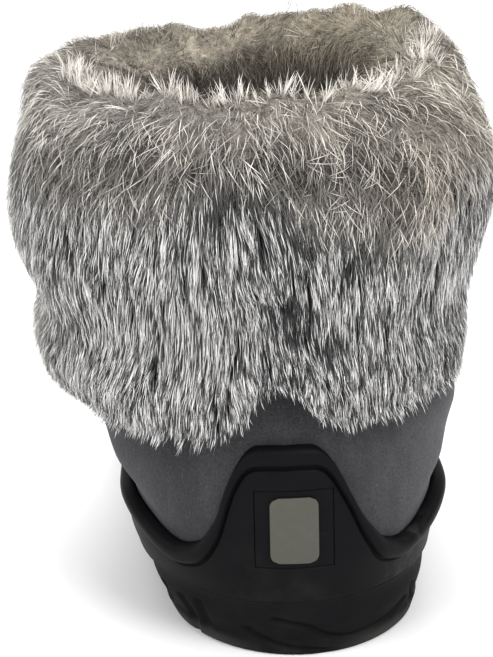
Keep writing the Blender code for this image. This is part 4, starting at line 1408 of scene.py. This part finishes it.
class BOOT_OT_guards(bpy.types.Operator):
    """Scatters stray guard hairs over the cuff and a fan of upright ones round its opening"""

    bl_idname = "boot.guards"
    bl_label = "Guard hairs"

    def execute(self, context):
        last = boot_last()
        f, pelt, material = last.f, Pelt(last), hair()
        tree = self.scatter()
        for name, path, wide, density, sway, root in (
            ("fur_guard_hairs", STRAY, 0.00025, f.guard_density, 0.28, 0.55),
            ("fur_rim_hairs", UPRIGHT, 0.00031, f.rim_density, 0.36, 0.85),
        ):
            values = {"Density": density, "Sway": sway, "Dark": 0.18, "Root": root}
            ground = self.ground(pelt, material, path is UPRIGHT)
            reach = np.linalg.norm(path, axis=1)
            lines = np.array([(path + np.outer(reach, (0, aside, 0))) * size for aside, size in BUNCH])
            t = np.tile(np.linspace(0, 1, len(path)), (len(BUNCH), 1))
            tilt = np.tile((0.3, 1.0, 0.8), (len(BUNCH), 1))
            strand = strips("strand", lines, np.full(len(BUNCH), wide), tilt, material, {"along": t})
            step = ground.modifiers.new(name, "NODES")
            step.node_group = tree
            wanted = {"Strand": strand, "Seed": f.seed, "Material": material, **values}
            for item in tree.interface.items_tree:
                if item.name in wanted:
                    step[item.identifier] = wanted[item.name]
            mesh = bpy.data.meshes.new_from_object(ground.evaluated_get(context.evaluated_depsgraph_get()))
            piece = bpy.data.objects.new(name, mesh)
            context.scene.collection.objects.link(piece)
            for used in (ground, strand):
                bpy.data.objects.remove(used)
            finish_fur(piece)
        return {"FINISHED"}

    def ground(self, pelt, material, rim_only):
        """The face that the hairs stand on, with how thickly they stand at each corner."""
        turns, ways = pelt.grid.shape[:2]
        low = int(pelt.hem * ways) - 2
        points = pelt.grid[:, 6:low] - pelt.normals[:, 6:low] * 0.0012
        turn, way = np.meshgrid(np.arange(turns) / turns, np.arange(6, low) / (ways - 1), indexing="ij")
        soft = pelt.coat(turn, way)[0]
        drop = (way - pelt.crest) * pelt.length
        away = ease(np.abs((turn + 0.5) % 1 - 0.5), 0.23, 0.31)
        side = np.exp(-(((turn + 0.5) % 1 - 0.5 + 0.17) / 0.09) ** 2 - ((drop - 0.003) / 0.012) ** 2)
        on_roll = ease(drop, -0.010, 0.0) * (1 - ease(drop, 0.040, 0.054))
        thick = 0.02 + (0.8 * soft + 0.9 * side) * on_roll * (1 - 0.7 * away)
        if rim_only:
            thick = np.exp(-((drop + 0.0055) / 0.0030) ** 2) * (1 - 0.92 * away)
        i, j = np.meshgrid(np.arange(turns), np.arange(low - 7), indexing="ij")
        k, row = (i + 1) % turns, low - 6
        faces = np.stack([i * row + j, i * row + j + 1, k * row + j + 1, k * row + j], -1).reshape(-1, 4)
        return face_outwards(marked(new_piece("guard_ground", points, faces, material), thick=thick))

    def scatter(self):
        """The node tree that stands a strand, turned and sized by chance, on points spread over a face."""
        tree = bpy.data.node_groups.new("guard hairs", "GeometryNodeTree")
        for name, kind in (
            ("Geometry", "Geometry"), ("Strand", "Object"), ("Density", "Float"), ("Sway", "Float"),
            ("Dark", "Float"), ("Root", "Float"), ("Seed", "Int"), ("Material", "Material"),
        ):
            tree.interface.new_socket(name, in_out="INPUT", socket_type=f"NodeSocket{kind}")
        tree.interface.new_socket("Geometry", in_out="OUTPUT", socket_type="NodeSocketGeometry")

        def node(kind, settings=None, **inputs):
            """Adds a node, feeds its inputs by name, or by number after _, and returns its first output."""
            made = tree.nodes.new(kind)
            for name, value in (settings or {}).items():
                setattr(made, name, value)
            for name, value in inputs.items():
                open_inputs = [socket for socket in made.inputs if socket.enabled]
                named = {socket.name: socket for socket in open_inputs}
                socket = open_inputs[int(name[1:])] if name.startswith("_") else named[name.replace("_", " ")]
                if isinstance(value, bpy.types.NodeSocket):
                    tree.links.new(value, socket)
                else:
                    socket.default_value = value
            outputs = [socket for socket in made.outputs if socket.enabled]
            return outputs[0] if outputs else None

        def maths(operation, first, second):
            return node("ShaderNodeMath", {"operation": operation}, _0=first, _1=second)

        def chance(low, high, seed):
            return node("FunctionNodeRandomValue", {"data_type": "FLOAT"}, Min=low, Max=high, Seed=seed)

        given = tree.nodes.new("NodeGroupInput").outputs
        thick = node("GeometryNodeInputNamedAttribute", {"data_type": "FLOAT"}, Name="thick")
        density = maths("MULTIPLY", given["Density"], thick)
        kind = "GeometryNodeDistributePointsOnFaces"
        spots = node(kind, Mesh=given["Geometry"], Density=density, Seed=given["Seed"])
        upright = next(socket for socket in spots.node.outputs if socket.name == "Rotation")
        shape = node("GeometryNodeObjectInfo", Object=given["Strand"])
        shape = next(socket for socket in shape.node.outputs if socket.name == "Geometry")
        size = chance(0.45, 1.15, 1)
        kind = "GeometryNodeInstanceOnPoints"
        placed = node(kind, Points=spots, Instance=shape, Rotation=upright, Scale=size)
        back = maths("MULTIPLY", given["Sway"], -1.0)
        least = node("ShaderNodeCombineXYZ", X=back, Y=back)
        most = node("ShaderNodeCombineXYZ", X=given["Sway"], Y=given["Sway"], Z=2 * math.pi)
        spin = node("FunctionNodeRandomValue", {"data_type": "FLOAT_VECTOR"}, Min=least, Max=most, Seed=2)
        toned = node("GeometryNodeRotateInstances", Instances=placed, Rotation=spin)
        light = maths("GREATER_THAN", chance(0.0, 1.0, 4), given["Dark"])
        pale = maths("MULTIPLY", chance(0.80, 1.0, 3), light)
        for name, value in (("tip", pale), ("root", given["Root"]), ("warm", 0.35)):
            settings = {"data_type": "FLOAT", "domain": "INSTANCE"}
            toned = node("GeometryNodeStoreNamedAttribute", settings, Geometry=toned, Name=name, Value=value)
        real = node("GeometryNodeRealizeInstances", Geometry=toned)
        dressed = node("GeometryNodeSetMaterial", Geometry=real, Material=given["Material"])
        node("NodeGroupOutput", Geometry=dressed)
        return tree


class BOOT_PT_panel(bpy.types.Panel):
    """Lists the boot's pieces in the sidebar"""

    bl_label = "Snow boot"
    bl_idname = "BOOT_PT_panel"
    bl_space_type = "VIEW_3D"
    bl_region_type = "UI"
    bl_category = "Boot"

    def draw(self, context):
        for step in STEPS:
            self.layout.operator(step.bl_idname)


STEPS = (
    BOOT_OT_stage, BOOT_OT_outsole, BOOT_OT_shell, BOOT_OT_badge, BOOT_OT_upper,
    BOOT_OT_footbed, BOOT_OT_wool, BOOT_OT_hairs, BOOT_OT_down, BOOT_OT_guards,
)
GROUPS = (BootSizes, FurSizes, BootColours)


def register():
    for kind in (*GROUPS, *STEPS, BOOT_PT_panel):
        bpy.utils.register_class(kind)
    bpy.types.Scene.boot_sizes = PointerProperty(type=BootSizes)
    bpy.types.Scene.fur_sizes = PointerProperty(type=FurSizes)
    bpy.types.Scene.boot_colours = PointerProperty(type=BootColours)


def unregister():
    for name in ("boot_sizes", "fur_sizes", "boot_colours"):
        delattr(bpy.types.Scene, name)
    for kind in reversed((*GROUPS, *STEPS, BOOT_PT_panel)):
        bpy.utils.unregister_class(kind)


def main():
    register()
    for step in STEPS:
        group, name = step.bl_idname.split(".")
        getattr(getattr(bpy.ops, group), name)()


if __name__ == "__main__":
    main()
